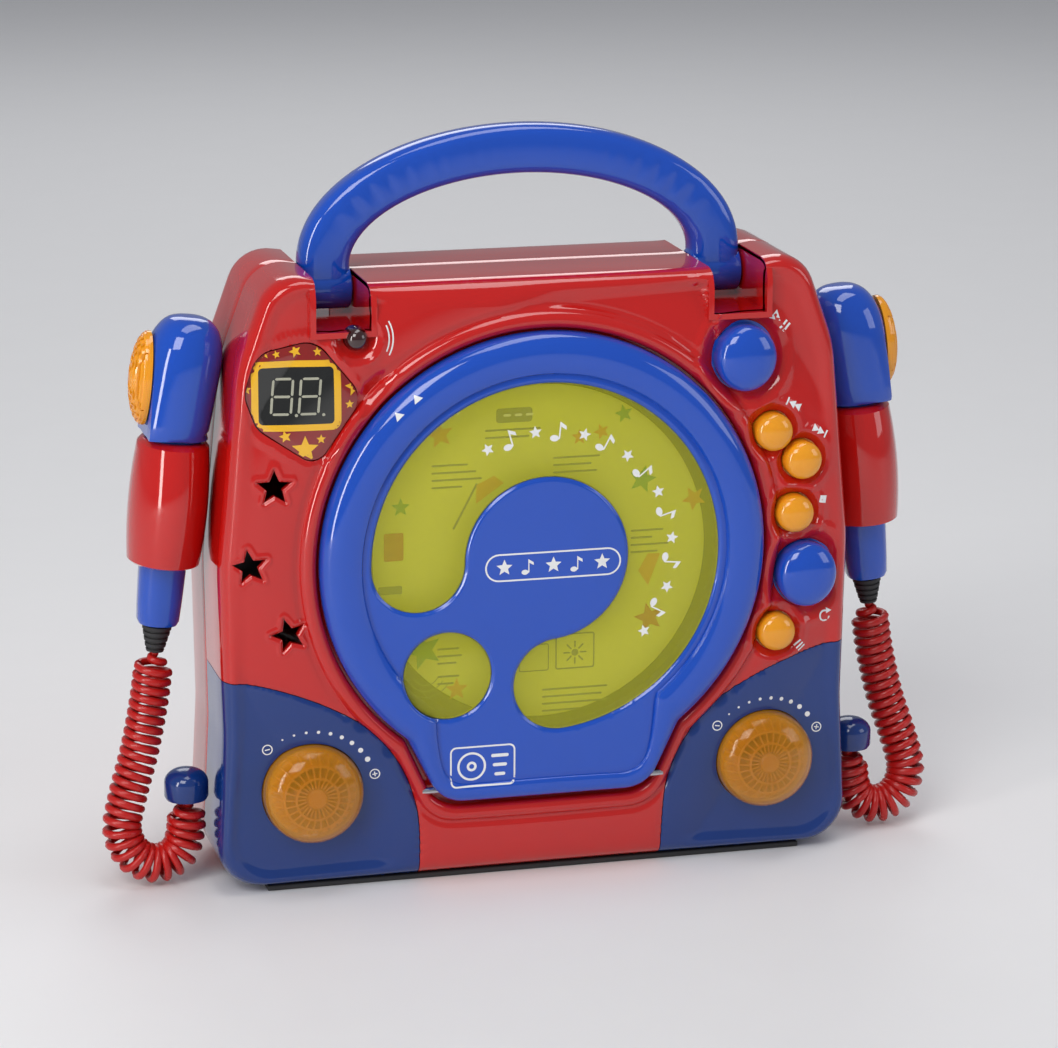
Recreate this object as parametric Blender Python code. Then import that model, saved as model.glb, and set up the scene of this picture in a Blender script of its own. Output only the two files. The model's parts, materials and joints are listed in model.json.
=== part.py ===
# Portable disc player for children: clamshell body, hinged lid with clear windows, carrying handle,
# push buttons, volume knobs and two lift-off microphones on curly cords.
# Metres, +Z up, face towards -Y, standing on its base at Z = 0.
import math

import bmesh
import bpy
from mathutils import Matrix, Vector

# Fits
GAP = 0.0003             # between pieces that touch
SLIDE_GAP = 0.0004       # round a button or a knob in its hole
WALL = 0.0022            # moulded wall

# Body, seen from the front; outlines are measured from the middle of the lid
BASE_Z = 0.0023          # underside of the body, above the feet
LID_UP = 0.115           # middle of the lid above the underside of the body
HALF_WIDTH = 0.114       # body half width at its widest
BASE_HALF = 0.116        # half width along the underside
TOP_UP = 0.098           # top of the body above the middle of the lid
SHOULDER_UP = 0.103      # top of the shoulders above the middle of the lid
SHOULDER_X = 0.095       # shoulder corner from the centreline
CORNER_R = 0.015         # bottom corner radius
HALF_DEPTH = 0.040       # back face, and the tops of the knobs in front
FACE_Y = -0.030          # front face of the body
SPLIT_Y = 0.004          # where the two shells meet
FACE_FILLET = 0.009      # front edge
BACK_FILLET = 0.011      # back edge
LIP_H = 0.0016           # raised lip round the lid opening
LIP_W = 0.0060
AROUND = 64              # points round the body

# Lid and disc
DISC_R = 0.060
LID_R = 0.0800
LID_GAP = 0.0008
LID_FRONT = -0.0360
LID_RIM_Y = -0.0290      # back edge of the lid's rim
LID_FIELD = 0.0014       # the field is sunk this much behind the ring
LID_RING_W = 0.0088
LID_WALL = 0.0022
CHIN_X = 0.0375
CHIN_DOWN = 0.0865
CHIN_R = 0.013
CHIN_GAP = 0.0025        # room under the chin for it to turn
KNUCKLE_R = 0.0042
KNUCKLE_HALF = 0.0240
KNUCKLE_PROUD = 0.0002   # the knuckle stands this far below the chin
HINGE_PIN_HALF = 0.0440
HINGE_Y = -0.0306
HINGE_PIN_R = 0.0012
WINDOW_OUT = 0.0625
WINDOW_IN = 0.0292
WINDOW_FROM = -84.0      # degrees, where the long window's round ends are centred
WINDOW_TO = 180.0
PORT_AT = (-0.0355, -0.0400)
PORT_R = 0.0158
LEDGE_Y = -0.0260        # ledge inside the lid opening
LEDGE_W = 0.0050
WELL_Y = -0.0210         # floor of the disc well
WELL_R = 0.0650
CARD_Y = -0.0246
CARD_T = 0.0005
HUB_R = 0.0073
TABLE_R = 0.0150

# Controls: place from the middle of the lid, radius
BIG_BUTTON_R = 0.0109
SMALL_BUTTON_R = 0.0068
BUTTON_OVAL = 1.08
BIG_BUTTON_TOP = -0.0365
SMALL_BUTTON_TOP = -0.0345
BUTTON_FLANGE_Y = -0.0262
BUTTON_FLANGE = 0.0006
BUTTON_TRAVEL = 0.0015
BUTTONS = (
    ("play_button", 0.0725, 0.0668, True),
    ("skip_back_button", 0.0832, 0.0398, False),
    ("skip_forward_button", 0.0942, 0.0290, False),
    ("stop_button", 0.0917, 0.0098, False),
    ("repeat_button", 0.0965, -0.0127, True),
    ("program_button", 0.0857, -0.0333, False),
)
KNOB_X = 0.0825
KNOB_DOWN = 0.0805
KNOB_R = 0.0175
KNOB_WALL = 0.0020
KNOB_STEM_R = 0.0035
KNOB_FLANGE_Y = -0.0250
POT_R = 0.0080
STAR_R = 0.0062
STARS = ((-0.0950, 0.0296), (-0.1038, 0.0020), (-0.0906, -0.0228))
SENSOR_AT = (-0.0660, 0.0800)
SENSOR_R = 0.0040

# Handle
HANDLE_W = 0.018         # across the bar, in the plane of the arch
HANDLE_T = 0.015         # through the bar
HANDLE_X = 0.0705        # middle of each leg
HANDLE_PIVOT_UP = 0.092
HANDLE_PIVOT_Y = 0.005
HANDLE_RISE = 0.0460     # middle of the bar above the pivot
HANDLE_LEG = 0.008
HANDLE_PIN_R = 0.0030
SLOT_GAP = 0.0006
SLOT_FLOOR = 0.0094      # below the pivot

# Microphones, built along their own axis from the head's underside
MIC_TILT = math.radians(6.0)
MIC_X = 0.1240
MIC_Y = 0.0020
MIC_UP = 0.0430
MIC_HANDLE = 0.0680
MIC_HANDLE_R = 0.0096
MIC_HEAD_X = 0.0135
MIC_HEAD_Y = 0.0150
MIC_HEAD = 0.0420
GRILLE_SEAT = 0.0108
GRILLE_RISE = 0.0062
GRILLE_HALF = 0.0165
GRILLE_UP = 0.0195
CAPSULE_R = 0.0050
RELIEF = 0.0095
HOLSTER_CLEAR = 0.0006
HOLSTER_LENGTH = 0.0460
CORD_SLOT = 0.0150

# Cords: outer radius of the curly part; the route is in world places, right side
CORD_R = 0.0072
GLAND_LOW = 0.0300
GLAND_TOP = 0.0420
GLAND_X = 0.1232
GLAND_Y = -0.0060
GLAND_R = 0.0078

# Back
BAY_X = 0.0540
BAY_LOW = -0.0960
BAY_HIGH = -0.0400
BAY_FLOOR_Y = 0.0100
BAY_WALL = 0.0016
DOOR_GAP = 0.0004
SCREWS = ((-0.0930, 0.0845), (0.0930, 0.0845), (-0.0700, -0.1020), (0.0700, -0.1020))
SCREW_R = 0.0014
SCREW_HEAD_R = 0.0028
SCREW_SUNK = 0.0060
BOSS_R = 0.0040
PAD_X = 0.098            # rubber pad under the base
PAD_Y = 0.024

RED = (0.72, 0.022, 0.015)
BLUE = (0.022, 0.095, 0.56)
NAVY = (0.015, 0.055, 0.26)
ORANGE = (0.92, 0.40, 0.02)
AMBER = (0.95, 0.50, 0.06)
LIME = (0.78, 0.86, 0.05)
BLACK = (0.02, 0.02, 0.022)
STEEL = (0.62, 0.63, 0.65)
GREEN = (0.02, 0.16, 0.06)

LID_Z = BASE_Z + LID_UP


def clear_scene():
    for thing in list(bpy.data.objects):
        bpy.data.objects.remove(thing, do_unlink=True)


def material(name, colour, rough=0.35, metal=0.0):
    mat = bpy.data.materials.new(name)
    mat.use_nodes = True
    shader = mat.node_tree.nodes["Principled BSDF"]
    shader.inputs["Base Color"].default_value = (*colour, 1.0)
    shader.inputs["Roughness"].default_value = rough
    shader.inputs["Metallic"].default_value = metal
    return mat


def add_piece(name, bm, colour=None, rough=0.35, metal=0.0, at=None):
    """Turn a bmesh in world places into a named object whose origin is `at`."""
    bmesh.ops.recalc_face_normals(bm, faces=bm.faces)
    mesh = bpy.data.meshes.new(name)
    if at is not None:
        bmesh.ops.translate(bm, verts=bm.verts, vec=-Vector(at))
    bm.to_mesh(mesh)
    bm.free()
    piece = bpy.data.objects.new(name, mesh)
    if at is not None:
        piece.location = at
    bpy.context.scene.collection.objects.link(piece)
    mesh.shade_smooth()
    mesh.set_sharp_from_angle(angle=math.radians(35))
    if colour is None:
        piece.hide_render = True
        piece.display_type = "WIRE"
        piece.hide_viewport = False
    else:
        mesh.materials.append(material(name, colour, rough, metal))
    return piece


def carve(piece, *tools, how="DIFFERENCE"):
    for tool in tools:
        cut = piece.modifiers.new(tool.name, "BOOLEAN")
        cut.operation = how
        cut.solver = "EXACT"
        cut.object = tool


def box(lo, hi):
    bm = bmesh.new()
    bmesh.ops.create_cube(bm, size=1.0)
    lo, hi = Vector(lo), Vector(hi)
    for vert in bm.verts:
        vert.co = Vector((lo[i] + (vert.co[i] + 0.5) * (hi[i] - lo[i]) for i in range(3)))
    return bm


def stack(rings, closed=False):
    """Bridge equal rings of points; the ends are filled, or joined to each other when closed."""
    bm = bmesh.new()
    loops = [[bm.verts.new(point) for point in ring] for ring in rings]
    pairs = list(zip(loops, loops[1:]))
    if closed:
        pairs.append((loops[-1], loops[0]))
    for low, high in pairs:
        count = len(low)
        for i in range(count):
            j = (i + 1) % count
            bm.faces.new((low[i], low[j], high[j], high[i]))
    if not closed:
        for end in (loops[0], loops[-1]):
            bm.faces.new(end)
    return bm


def turned(profile, centre, axis="Y", around=24, oval=1.0):
    """Spin (radius, along) points, from one end of the axis to the other, about an axis at centre."""
    bm = bmesh.new()
    verts = [bm.verts.new((radius, along, 0.0)) for radius, along in profile]
    for a, b in zip(verts, verts[1:]):
        bm.edges.new((a, b))
    bmesh.ops.spin(bm, geom=bm.verts[:] + bm.edges[:], cent=(0, 0, 0), axis=(0, 1, 0),
                   angle=2 * math.pi, steps=around, use_merge=True)
    bmesh.ops.remove_doubles(bm, verts=bm.verts, dist=1e-6)
    bmesh.ops.scale(bm, verts=bm.verts, vec=(1, 1, oval))
    if axis == "X":
        bmesh.ops.rotate(bm, verts=bm.verts, cent=(0, 0, 0), matrix=Matrix.Rotation(-math.pi / 2, 3, "Z"))
    if axis == "Z":
        bmesh.ops.rotate(bm, verts=bm.verts, cent=(0, 0, 0), matrix=Matrix.Rotation(math.pi / 2, 3, "X"))
    bmesh.ops.translate(bm, verts=bm.verts, vec=centre)
    return bm


def drum(centre, radius, low, high, axis="Y", around=18):
    return turned([(0, low), (radius, low), (radius, high), (0, high)], centre, axis, around)


def prism(outline, low, high):
    """Extrude an (x, z) outline, measured from the middle of the lid, along Y."""
    return stack([[(x, y, LID_Z + z) for x, z in outline] for y in (low, high)])


def rounded(corners, step=math.radians(18)):
    """Closed outline through (x, z, radius) corners, each rounded by its own arc."""
    points = []
    count = len(corners)
    for i, (x, z, radius) in enumerate(corners):
        here = Vector((x, z))
        before = (Vector(corners[i - 1][:2]) - here).normalized()
        after = (Vector(corners[(i + 1) % count][:2]) - here).normalized()
        if radius == 0:
            points.append(tuple(here))
            continue
        half = before.angle(after) / 2
        centre = here + (before + after).normalized() * radius / math.sin(half)
        start = here + before * radius / math.tan(half) - centre
        end = here + after * radius / math.tan(half) - centre
        turn = start.angle_signed(end)
        steps = max(1, math.ceil(abs(turn) / step))
        for k in range(steps + 1):
            points.append(tuple(centre + Matrix.Rotation(-turn * k / steps, 2) @ start))
    return points


def reach(outline, angle):
    """Distance from the middle of the lid to an outline along a ray."""
    ray = Vector((math.cos(angle), math.sin(angle)))
    best = 0.0
    for a, b in zip(outline, outline[1:] + outline[:1]):
        edge = Vector(b) - Vector(a)
        cross = ray.x * edge.y - ray.y * edge.x
        if abs(cross) < 1e-12:
            continue
        along = (a[0] * edge.y - a[1] * edge.x) / cross
        share = (a[0] * ray.y - a[1] * ray.x) / cross
        if along > 0 and -1e-9 <= share <= 1 + 1e-9:
            best = max(best, along)
    return best


def mirrored(half):
    return half + [(-x, z, radius) for x, z, radius in reversed(half)]


def body_outline(grow=0.0):
    half = [(BASE_HALF + grow, -LID_UP - grow, CORNER_R), (HALF_WIDTH - 0.001 + grow, -0.060, 0.08),
            (HALF_WIDTH + grow, 0.0, 0.09), (HALF_WIDTH - 0.007 + grow, 0.070, 0.05),
            (SHOULDER_X + grow, SHOULDER_UP + grow, 0.014), (0.060, TOP_UP + grow, 0.030)]
    return rounded(mirrored(half))


def lid_outline(radius, chin_x, chin_down):
    first, last, step = -52, 232, 8
    arc = [(radius * math.cos(math.radians(a)), radius * math.sin(math.radians(a)), 0.0)
           for a in range(first, last + 1, step)]
    return rounded(arc + [(-chin_x, -chin_down, CHIN_R), (chin_x, -chin_down, CHIN_R)])


def loft(outer, inner, section, closed):
    """Sweep a section round the lid's axis; section(ro, ri) gives (radius, y) points."""
    columns = []
    for k in range(AROUND):
        angle = 2 * math.pi * (k + 0.5) / AROUND
        ri = reach(inner, angle) if inner else 0.0
        columns.append([(r * math.cos(angle), y, LID_Z + r * math.sin(angle))
                        for r, y in section(reach(outer, angle), ri)])
    return stack([[column[i] for column in columns] for i in range(len(columns[0]))], closed)


def arc_points(centre_r, centre_y, radius, first, last, count):
    """(radius, y) points; 0 degrees points outwards and 90 degrees to the front."""
    turns = [math.radians(first + (last - first) * k / (count - 1)) for k in range(count)]
    return [(centre_r + radius * math.cos(a), centre_y - radius * math.sin(a)) for a in turns]


def front_section(ro, ri):
    fillet = FACE_FILLET
    outside = [(ro, SPLIT_Y)] + arc_points(ro - fillet, FACE_Y + fillet, fillet, 0, 90, 4)
    lip = [(ri + LIP_W, FACE_Y), (ri + LIP_W * 0.55, FACE_Y - LIP_H), (ri + LIP_W * 0.2, FACE_Y - LIP_H),
           (ri, FACE_Y + 0.001)]
    ledge = [(ri, LEDGE_Y), (ri - LEDGE_W, LEDGE_Y), (ri - LEDGE_W, LEDGE_Y + WALL), (ri + WALL, LEDGE_Y + WALL)]
    inside = [(ri + WALL, FACE_Y + WALL)] + arc_points(ro - fillet, FACE_Y + fillet, fillet - WALL, 90, 0, 3)
    return outside + lip + ledge + inside + [(ro - WALL, SPLIT_Y)]


def front_block_section(ro, ri):
    """Solid that ends halfway through the front shell's wall; it trims what stands inside the shell."""
    fillet = FACE_FILLET
    outside = [(ro - WALL / 2, SPLIT_Y - GAP)]
    outside += arc_points(ro - fillet, FACE_Y + fillet, fillet - WALL / 2, 0, 90, 4)
    return outside + [(ri + LIP_W, FACE_Y + WALL / 2), (ri + LIP_W, SPLIT_Y - GAP)]


def rear_section(ro, _):
    fillet = BACK_FILLET
    start = SPLIT_Y + GAP
    inside = arc_points(ro - fillet, HALF_DEPTH - fillet, fillet - WALL, -90, 0, 3) + [(ro - WALL, start)]
    outside = [(ro, start)] + arc_points(ro - fillet, HALF_DEPTH - fillet, fillet, 0, -90, 4)
    return inside + outside


def rear_block_section(ro, _):
    fillet = BACK_FILLET
    start = SPLIT_Y + 2 * GAP
    outside = [(ro - WALL / 2, start)] + arc_points(ro - fillet, HALF_DEPTH - fillet, fillet - WALL / 2, 0, -90, 4)
    return outside


def cover_outline(side, grow):
    """Region of a corner cover: an S-shaped edge, then well past the body's corner."""
    edge = [(0.130, -0.0380), (0.106, -0.0400), (0.0905, -0.0440), (0.0755, -0.0505), (0.0625, -0.0590),
            (0.0525, -0.0710), (0.0465, -0.0850), (0.0445, -0.1000), (0.0445, -0.130), (0.130, -0.130)]
    points = []
    for i, (x, z) in enumerate(edge):
        before, after = edge[max(i - 1, 0)], edge[min(i + 1, 7)]
        run = Vector((after[0] - before[0], after[1] - before[1])).normalized()
        shift = grow if i < 8 else 0.0
        points.append((side * (x + run.y * shift), z - run.x * shift))
    return points


def star_outline(x, z, radius, tilt=0.0):
    points = []
    for k in range(10):
        size = radius if k % 2 == 0 else radius * 0.48
        angle = math.radians(90 + tilt + 36 * k)
        points.append((x + size * math.cos(angle), z + size * math.sin(angle)))
    return points


def lens_outline(grow=0.0):
    corners = [(-0.1020, 0.0775, 0.004), (-0.1050, 0.0630, 0.006), (-0.1000, 0.0510, 0.006),
               (-0.0805, 0.0365, 0.005), (-0.0640, 0.0600, 0.006), (-0.0800, 0.0800, 0.006)]
    middle = Vector((sum(c[0] for c in corners), sum(c[1] for c in corners))) / len(corners)
    grown = []
    for x, z, radius in corners:
        out = (Vector((x, z)) - middle).normalized() * grow * 1.25
        grown.append((x + out.x, z + out.y, radius))
    return rounded(grown)


def button_hole(big):
    return (BIG_BUTTON_R if big else SMALL_BUTTON_R) + SLIDE_GAP


def slot_box(side, pad=0.0):
    half = HANDLE_W / 2 + SLOT_GAP + pad
    low = LID_Z + HANDLE_PIVOT_UP - SLOT_FLOOR - pad
    xs = sorted((side * (HANDLE_X - half), side * (HANDLE_X + half)))
    return box((xs[0], -0.06, low), (xs[1], 0.06, LID_Z + 0.13))


def screw_boss(x, z, low, high):
    return drum((x, 0, LID_Z + z), BOSS_R, low, high, around=16)


def make_shells():
    outer = body_outline()
    hole = lid_outline(LID_R + LID_GAP, CHIN_X + 0.001, CHIN_DOWN + CHIN_GAP)
    front = add_piece("front_shell", loft(outer, hole, front_section, True), RED, 0.12)
    front_block = add_piece("cut_front_block", loft(outer, hole, front_block_section, True))
    rear = add_piece("rear_shell", loft(outer, None, rear_section, False), RED, 0.14)
    rear_block = add_piece("cut_rear_block", loft(outer, None, rear_block_section, False))
    for side, hand in ((-1, "left"), (1, "right")):
        for shell, block, tag in ((front, front_block, "front"), (rear, rear_block, "rear")):
            liner = add_piece(f"cut_{tag}_liner_{hand}", slot_box(side, WALL))
            carve(liner, block, how="INTERSECT")
            carve(shell, liner, how="UNION")
        slot = add_piece(f"cut_slot_{hand}", slot_box(side))
        pin_at = (side * HANDLE_X, HANDLE_PIVOT_Y, LID_Z + HANDLE_PIVOT_UP)
        bore = add_piece(f"cut_pivot_{hand}", drum(pin_at, HANDLE_PIN_R + GAP, -0.0145, 0.0145, "X", 20))
        carve(front, slot, bore)
        carve(rear, slot, bore)
    make_covers(outer, hole, front)
    cut_face(front)
    add_screws(front, rear)
    return front, rear


def make_covers(outer, hole, front):
    for side, hand in ((-1, "left"), (1, "right")):
        cover = add_piece(f"corner_cover_{hand}", loft(outer, hole, front_section, True), NAVY, 0.2)
        region = add_piece(f"cut_cover_{hand}", prism(cover_outline(side, -GAP / 2), -0.06, 0.02))
        room = add_piece(f"cut_cover_room_{hand}", prism(cover_outline(side, GAP / 2), -0.06, 0.02))
        knob = drum((side * KNOB_X, 0, LID_Z - KNOB_DOWN), KNOB_R + SLIDE_GAP, -0.05, -0.02, around=40)
        knob_hole = add_piece(f"cut_knob_{hand}", knob)
        carve(cover, region, how="INTERSECT")
        carve(cover, knob_hole)
        carve(front, room)


def cut_face(front):
    for name, x, z, big in BUTTONS:
        hole = turned([(0, -0.05), (button_hole(big), -0.05), (button_hole(big), -0.02), (0, -0.02)],
                      (x, 0, LID_Z + z), around=24, oval=BUTTON_OVAL if big else 1.0)
        carve(front, add_piece(f"cut_{name}", hole))
    for k, (x, z) in enumerate(STARS):
        carve(front, add_piece(f"cut_star_{k}", prism(star_outline(x, z, STAR_R, 8 * k), -0.05, -0.024)))
    carve(front, add_piece("cut_lens", prism(lens_outline(GAP), -0.05, -0.024)))
    at = (SENSOR_AT[0], 0, LID_Z + SENSOR_AT[1])
    carve(front, add_piece("cut_sensor", drum(at, SENSOR_R + GAP, -0.05, -0.02)))
    pin_hole = drum((0, HINGE_Y, LID_Z - CHIN_DOWN + KNUCKLE_R - KNUCKLE_PROUD), HINGE_PIN_R + GAP, -HINGE_PIN_HALF - GAP, HINGE_PIN_HALF + GAP, "X", 16)
    carve(front, add_piece("cut_hinge_pin", pin_hole))


def add_screws(front, rear):
    sunk = HALF_DEPTH - SCREW_SUNK
    for k, (x, z) in enumerate(SCREWS):
        lower = z < -0.05
        owner = bpy.data.objects[f"corner_cover_{'left' if x < 0 else 'right'}"] if lower else front
        front_boss = add_piece(f"cut_front_boss_{k}", screw_boss(x, z, FACE_Y + WALL * 0.6, SPLIT_Y - GAP))
        rear_boss = add_piece(f"cut_rear_boss_{k}", screw_boss(x, z, SPLIT_Y + 2 * GAP, HALF_DEPTH - WALL * 0.4))
        carve(owner, front_boss, how="UNION")
        carve(rear, rear_boss, how="UNION")
        at = (x, 0, LID_Z + z)
        shank = drum(at, SCREW_R + GAP, SPLIT_Y - 0.012, 0.05, around=14)
        sink = drum(at, SCREW_HEAD_R + GAP, sunk, 0.05, around=18)
        shank_hole = add_piece(f"cut_shank_{k}", shank)
        head_hole = add_piece(f"cut_head_{k}", sink)
        carve(owner, shank_hole)
        carve(rear, shank_hole, head_hole)
        profile = [(0, SPLIT_Y - 0.0115), (SCREW_R, SPLIT_Y - 0.0105), (SCREW_R, sunk + GAP),
                   (SCREW_HEAD_R, sunk + GAP), (SCREW_HEAD_R, sunk + 0.0018), (0.0016, sunk + 0.0024),
                   (0, sunk + 0.0024)]
        add_piece(f"case_screw_{k + 1}", turned(profile, at, around=16), STEEL, 0.3, 1.0)


def window_outline(grow=0.0):
    """The long window: a thick arc with round ends, from WINDOW_FROM to WINDOW_TO degrees."""
    middle = (WINDOW_OUT + WINDOW_IN) / 2
    half = (WINDOW_OUT - WINDOW_IN) / 2 + grow
    first, last = math.radians(WINDOW_FROM), math.radians(WINDOW_TO)
    steps, ends = 26, 6
    outer = [(first + (last - first) * k / steps) for k in range(steps + 1)]
    points = [((middle + half) * math.cos(a), (middle + half) * math.sin(a)) for a in outer]
    for centre, start in ((last, last), (first, first + math.pi)):
        cap = [start + math.pi * k / (ends + 1) for k in range(1, ends + 1)]
        at = (middle * math.cos(centre), middle * math.sin(centre))
        round_end = [(at[0] + half * math.cos(a), at[1] + half * math.sin(a)) for a in cap]
        points += round_end
        if centre == last:
            inner = [last - (last - first) * k / steps for k in range(steps + 1)]
            points += [((middle - half) * math.cos(a), (middle - half) * math.sin(a)) for a in inner]
    return points


def circle_outline(at, radius, count=28):
    turns = [2 * math.pi * k / count for k in range(count)]
    return [(at[0] + radius * math.cos(a), at[1] + radius * math.sin(a)) for a in turns]


def lid_section(ro, _):
    field = LID_FRONT + LID_FIELD
    crest = LID_RING_W * 0.5
    outside = [(ro - LID_RING_W, field), (ro - LID_RING_W + 0.0015, LID_FRONT + 0.0004), (ro - crest, LID_FRONT),
               (ro - 0.0030, LID_FRONT + 0.0006), (ro - 0.0008, LID_FRONT + 0.0024), (ro, LID_FRONT + 0.0050),
               (ro - 0.0003, LID_RIM_Y)]
    back = field + LID_WALL
    inside = [(ro - LID_WALL, LID_RIM_Y), (ro - LID_WALL, back + 0.0016), (ro - LID_WALL - 0.002, back)]
    return outside + inside + [(ro - LID_RING_W, back)]


def make_lid():
    hinge = (0, HINGE_Y, LID_Z - CHIN_DOWN + KNUCKLE_R - KNUCKLE_PROUD)
    outline = lid_outline(LID_R, CHIN_X, CHIN_DOWN)
    lid = add_piece("lid", loft(outline, None, lid_section, False), BLUE, 0.12, at=hinge)
    knuckle = add_piece("cut_knuckle", drum(hinge, KNUCKLE_R, -KNUCKLE_HALF, KNUCKLE_HALF, "X", 20))
    carve(lid, knuckle, how="UNION")
    carve(lid, add_piece("cut_knuckle_bore", drum(hinge, HINGE_PIN_R + GAP, -0.06, 0.06, "X", 16)))
    carve(lid, add_piece("cut_window", prism(window_outline(GAP), -0.05, -0.02)))
    carve(lid, add_piece("cut_port", prism(circle_outline(PORT_AT, PORT_R + GAP), -0.05, -0.02)))
    plane = LID_FRONT + LID_FIELD + 0.0002
    add_piece("lid_window", prism(window_outline(), plane, plane + 0.0018), LIME, 0.05, at=hinge)
    add_piece("lid_round_window", prism(circle_outline(PORT_AT, PORT_R), plane, plane + 0.0018), LIME, 0.05, at=hinge)
    add_piece("lid_hinge_pin", drum(hinge, HINGE_PIN_R, -HINGE_PIN_HALF, HINGE_PIN_HALF, "X", 14), STEEL, 0.25, 1.0)


def well_section(ro, _):
    floor = WELL_Y
    flange = LEDGE_Y + WALL + GAP
    front = [(ro, flange + 0.0018), (ro, flange), (WELL_R + 0.0015, flange), (WELL_R, floor)]
    thick = floor + 0.0018
    return front + [(0.0175, floor), (0.0175, thick), (WELL_R, thick), (WELL_R + 0.003, flange + 0.0018)]


def make_mechanism():
    centre = (0, 0, LID_Z)
    well_edge = lid_outline(LID_R, CHIN_X, LID_R)
    well = add_piece("disc_well", loft(well_edge, None, well_section, True), BLACK, 0.35)
    sled_slot = box((0.016, -0.03, LID_Z - 0.0085), (0.0600, -0.01, LID_Z + 0.0085))
    carve(well, add_piece("cut_sled_slot", sled_slot))
    table_back = CARD_Y + CARD_T + GAP
    table = [(0, -0.0290), (HUB_R - 0.0022, -0.0286), (HUB_R - 0.0003, -0.0268), (HUB_R - 0.0003, table_back),
             (TABLE_R, table_back), (TABLE_R, table_back + 0.0022), (0.0045, table_back + 0.0022),
             (0.0045, -0.0185), (0.0010, -0.0185), (0.0010, -0.0130), (0, -0.0130)]
    add_piece("turntable", turned(table, centre), BLACK, 0.3, at=centre)
    card = [(HUB_R, CARD_Y), (DISC_R, CARD_Y), (DISC_R, CARD_Y + CARD_T), (HUB_R, CARD_Y + CARD_T), (HUB_R, CARD_Y)]
    add_piece("disc_card", turned(card, centre, around=40), LIME, 0.5, at=centre)
    motor = [(0, -0.0125), (0.0032, -0.0125), (0.0032, -0.0140), (0.0120, -0.0140), (0.0120, -0.0020), (0, -0.0020)]
    motor_bore = drum(centre, 0.0010 + GAP, -0.05, -0.0127, around=12)
    spindle_motor = add_piece("spindle_motor", turned(motor, centre, around=28), STEEL, 0.35, 1.0)
    carve(spindle_motor, add_piece("cut_motor_bore", motor_bore))
    make_sled()


def make_sled():
    rod_z, rod_y, rod_r = 0.0140, -0.0130, 0.0012
    low, high = 0.0150, 0.0730
    for k, side in enumerate((1, -1)):
        at = (0, rod_y, LID_Z + side * rod_z)
        add_piece(f"guide_rod_{k + 1}", drum(at, rod_r, low, high, "X", 12), STEEL, 0.2, 1.0)
    chassis = add_piece("mech_chassis", box((-0.022, -0.0100, LID_Z - 0.0260), (0.0780, -0.0080, LID_Z + 0.0260)),
                        BLACK, 0.45)
    for k, x in enumerate((low - 0.0010, high - 0.0020)):
        for side in (1, -1):
            z = LID_Z + side * rod_z
            post = box((x, -0.0155, z - 0.003), (x + 0.0030, -0.0090, z + 0.003))
            carve(chassis, add_piece(f"cut_post_{k}_{side}", post), how="UNION")
    for k, side in enumerate((1, -1)):
        at = (0, rod_y, LID_Z + side * rod_z)
        carve(chassis, add_piece(f"cut_rod_seat_{k}", drum(at, rod_r + GAP, low - 0.0005, high + 0.0005, "X", 12)))
    carve(chassis, add_piece("cut_motor_seat", drum((0, 0, LID_Z), 0.0120 + GAP, -0.03, 0.0, around=28)))
    carve(chassis, add_piece("cut_sled_room", box((0.019, -0.03, LID_Z - 0.009), (0.070, 0.0, LID_Z + 0.009))))
    sled = add_piece("pickup_sled", box((0.0185, -0.0160, LID_Z - 0.0175), (0.0345, -0.0105, LID_Z + 0.0175)),
                     BLACK, 0.3)
    lens = turned([(0, -0.0228), (0.0030, -0.0226), (0.0045, -0.0215), (0.0060, -0.0212), (0.0060, -0.0140),
                   (0, -0.0140)], (0.0265, 0, LID_Z), around=24)
    carve(sled, add_piece("cut_lens_turret", lens), how="UNION")
    for k, side in enumerate((1, -1)):
        at = (0, rod_y, LID_Z + side * rod_z)
        carve(sled, add_piece(f"cut_sled_bore_{k}", drum(at, rod_r + GAP, 0.0, 0.09, "X", 14)))


def make_controls():
    for name, x, z, big in BUTTONS:
        radius = BIG_BUTTON_R if big else SMALL_BUTTON_R
        top = BIG_BUTTON_TOP if big else SMALL_BUTTON_TOP
        side = FACE_Y + 0.0004
        rise = side - top
        dome = [(radius * math.sin(a), side - rise * math.cos(a)) for a in (0, 0.5, 0.95, 1.35)]
        flange = radius + SLIDE_GAP + BUTTON_FLANGE - (0 if big else 0.0002)
        profile = dome + [(radius, side), (radius, BUTTON_FLANGE_Y), (flange, BUTTON_FLANGE_Y),
                          (flange, BUTTON_FLANGE_Y + 0.0012), (0.0025, BUTTON_FLANGE_Y + 0.0012),
                          (0.0025, -0.0190), (0, -0.0190)]
        at = (x, 0, LID_Z + z)
        bm = turned(profile, at, around=18, oval=BUTTON_OVAL if big else 1.0)
        add_piece(name, bm, BLUE if big else ORANGE, 0.12, at=(x, FACE_Y, LID_Z + z))
    board = [(0.058, 0.0765), (0.058, 0.066), (0.082, 0.046), (0.0855, 0.020), (0.0855, -0.0420), (0.1085, -0.0420),
             (0.1095, 0.0), (0.1040, 0.060), (0.0960, 0.0765)]
    add_piece("key_board", prism(board, -0.0170, -0.0154), GREEN, 0.4)
    for side, name, hand in ((-1, "mic_volume_knob", "left"), (1, "power_volume_knob", "right")):
        make_knob(side, name, hand)


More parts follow.
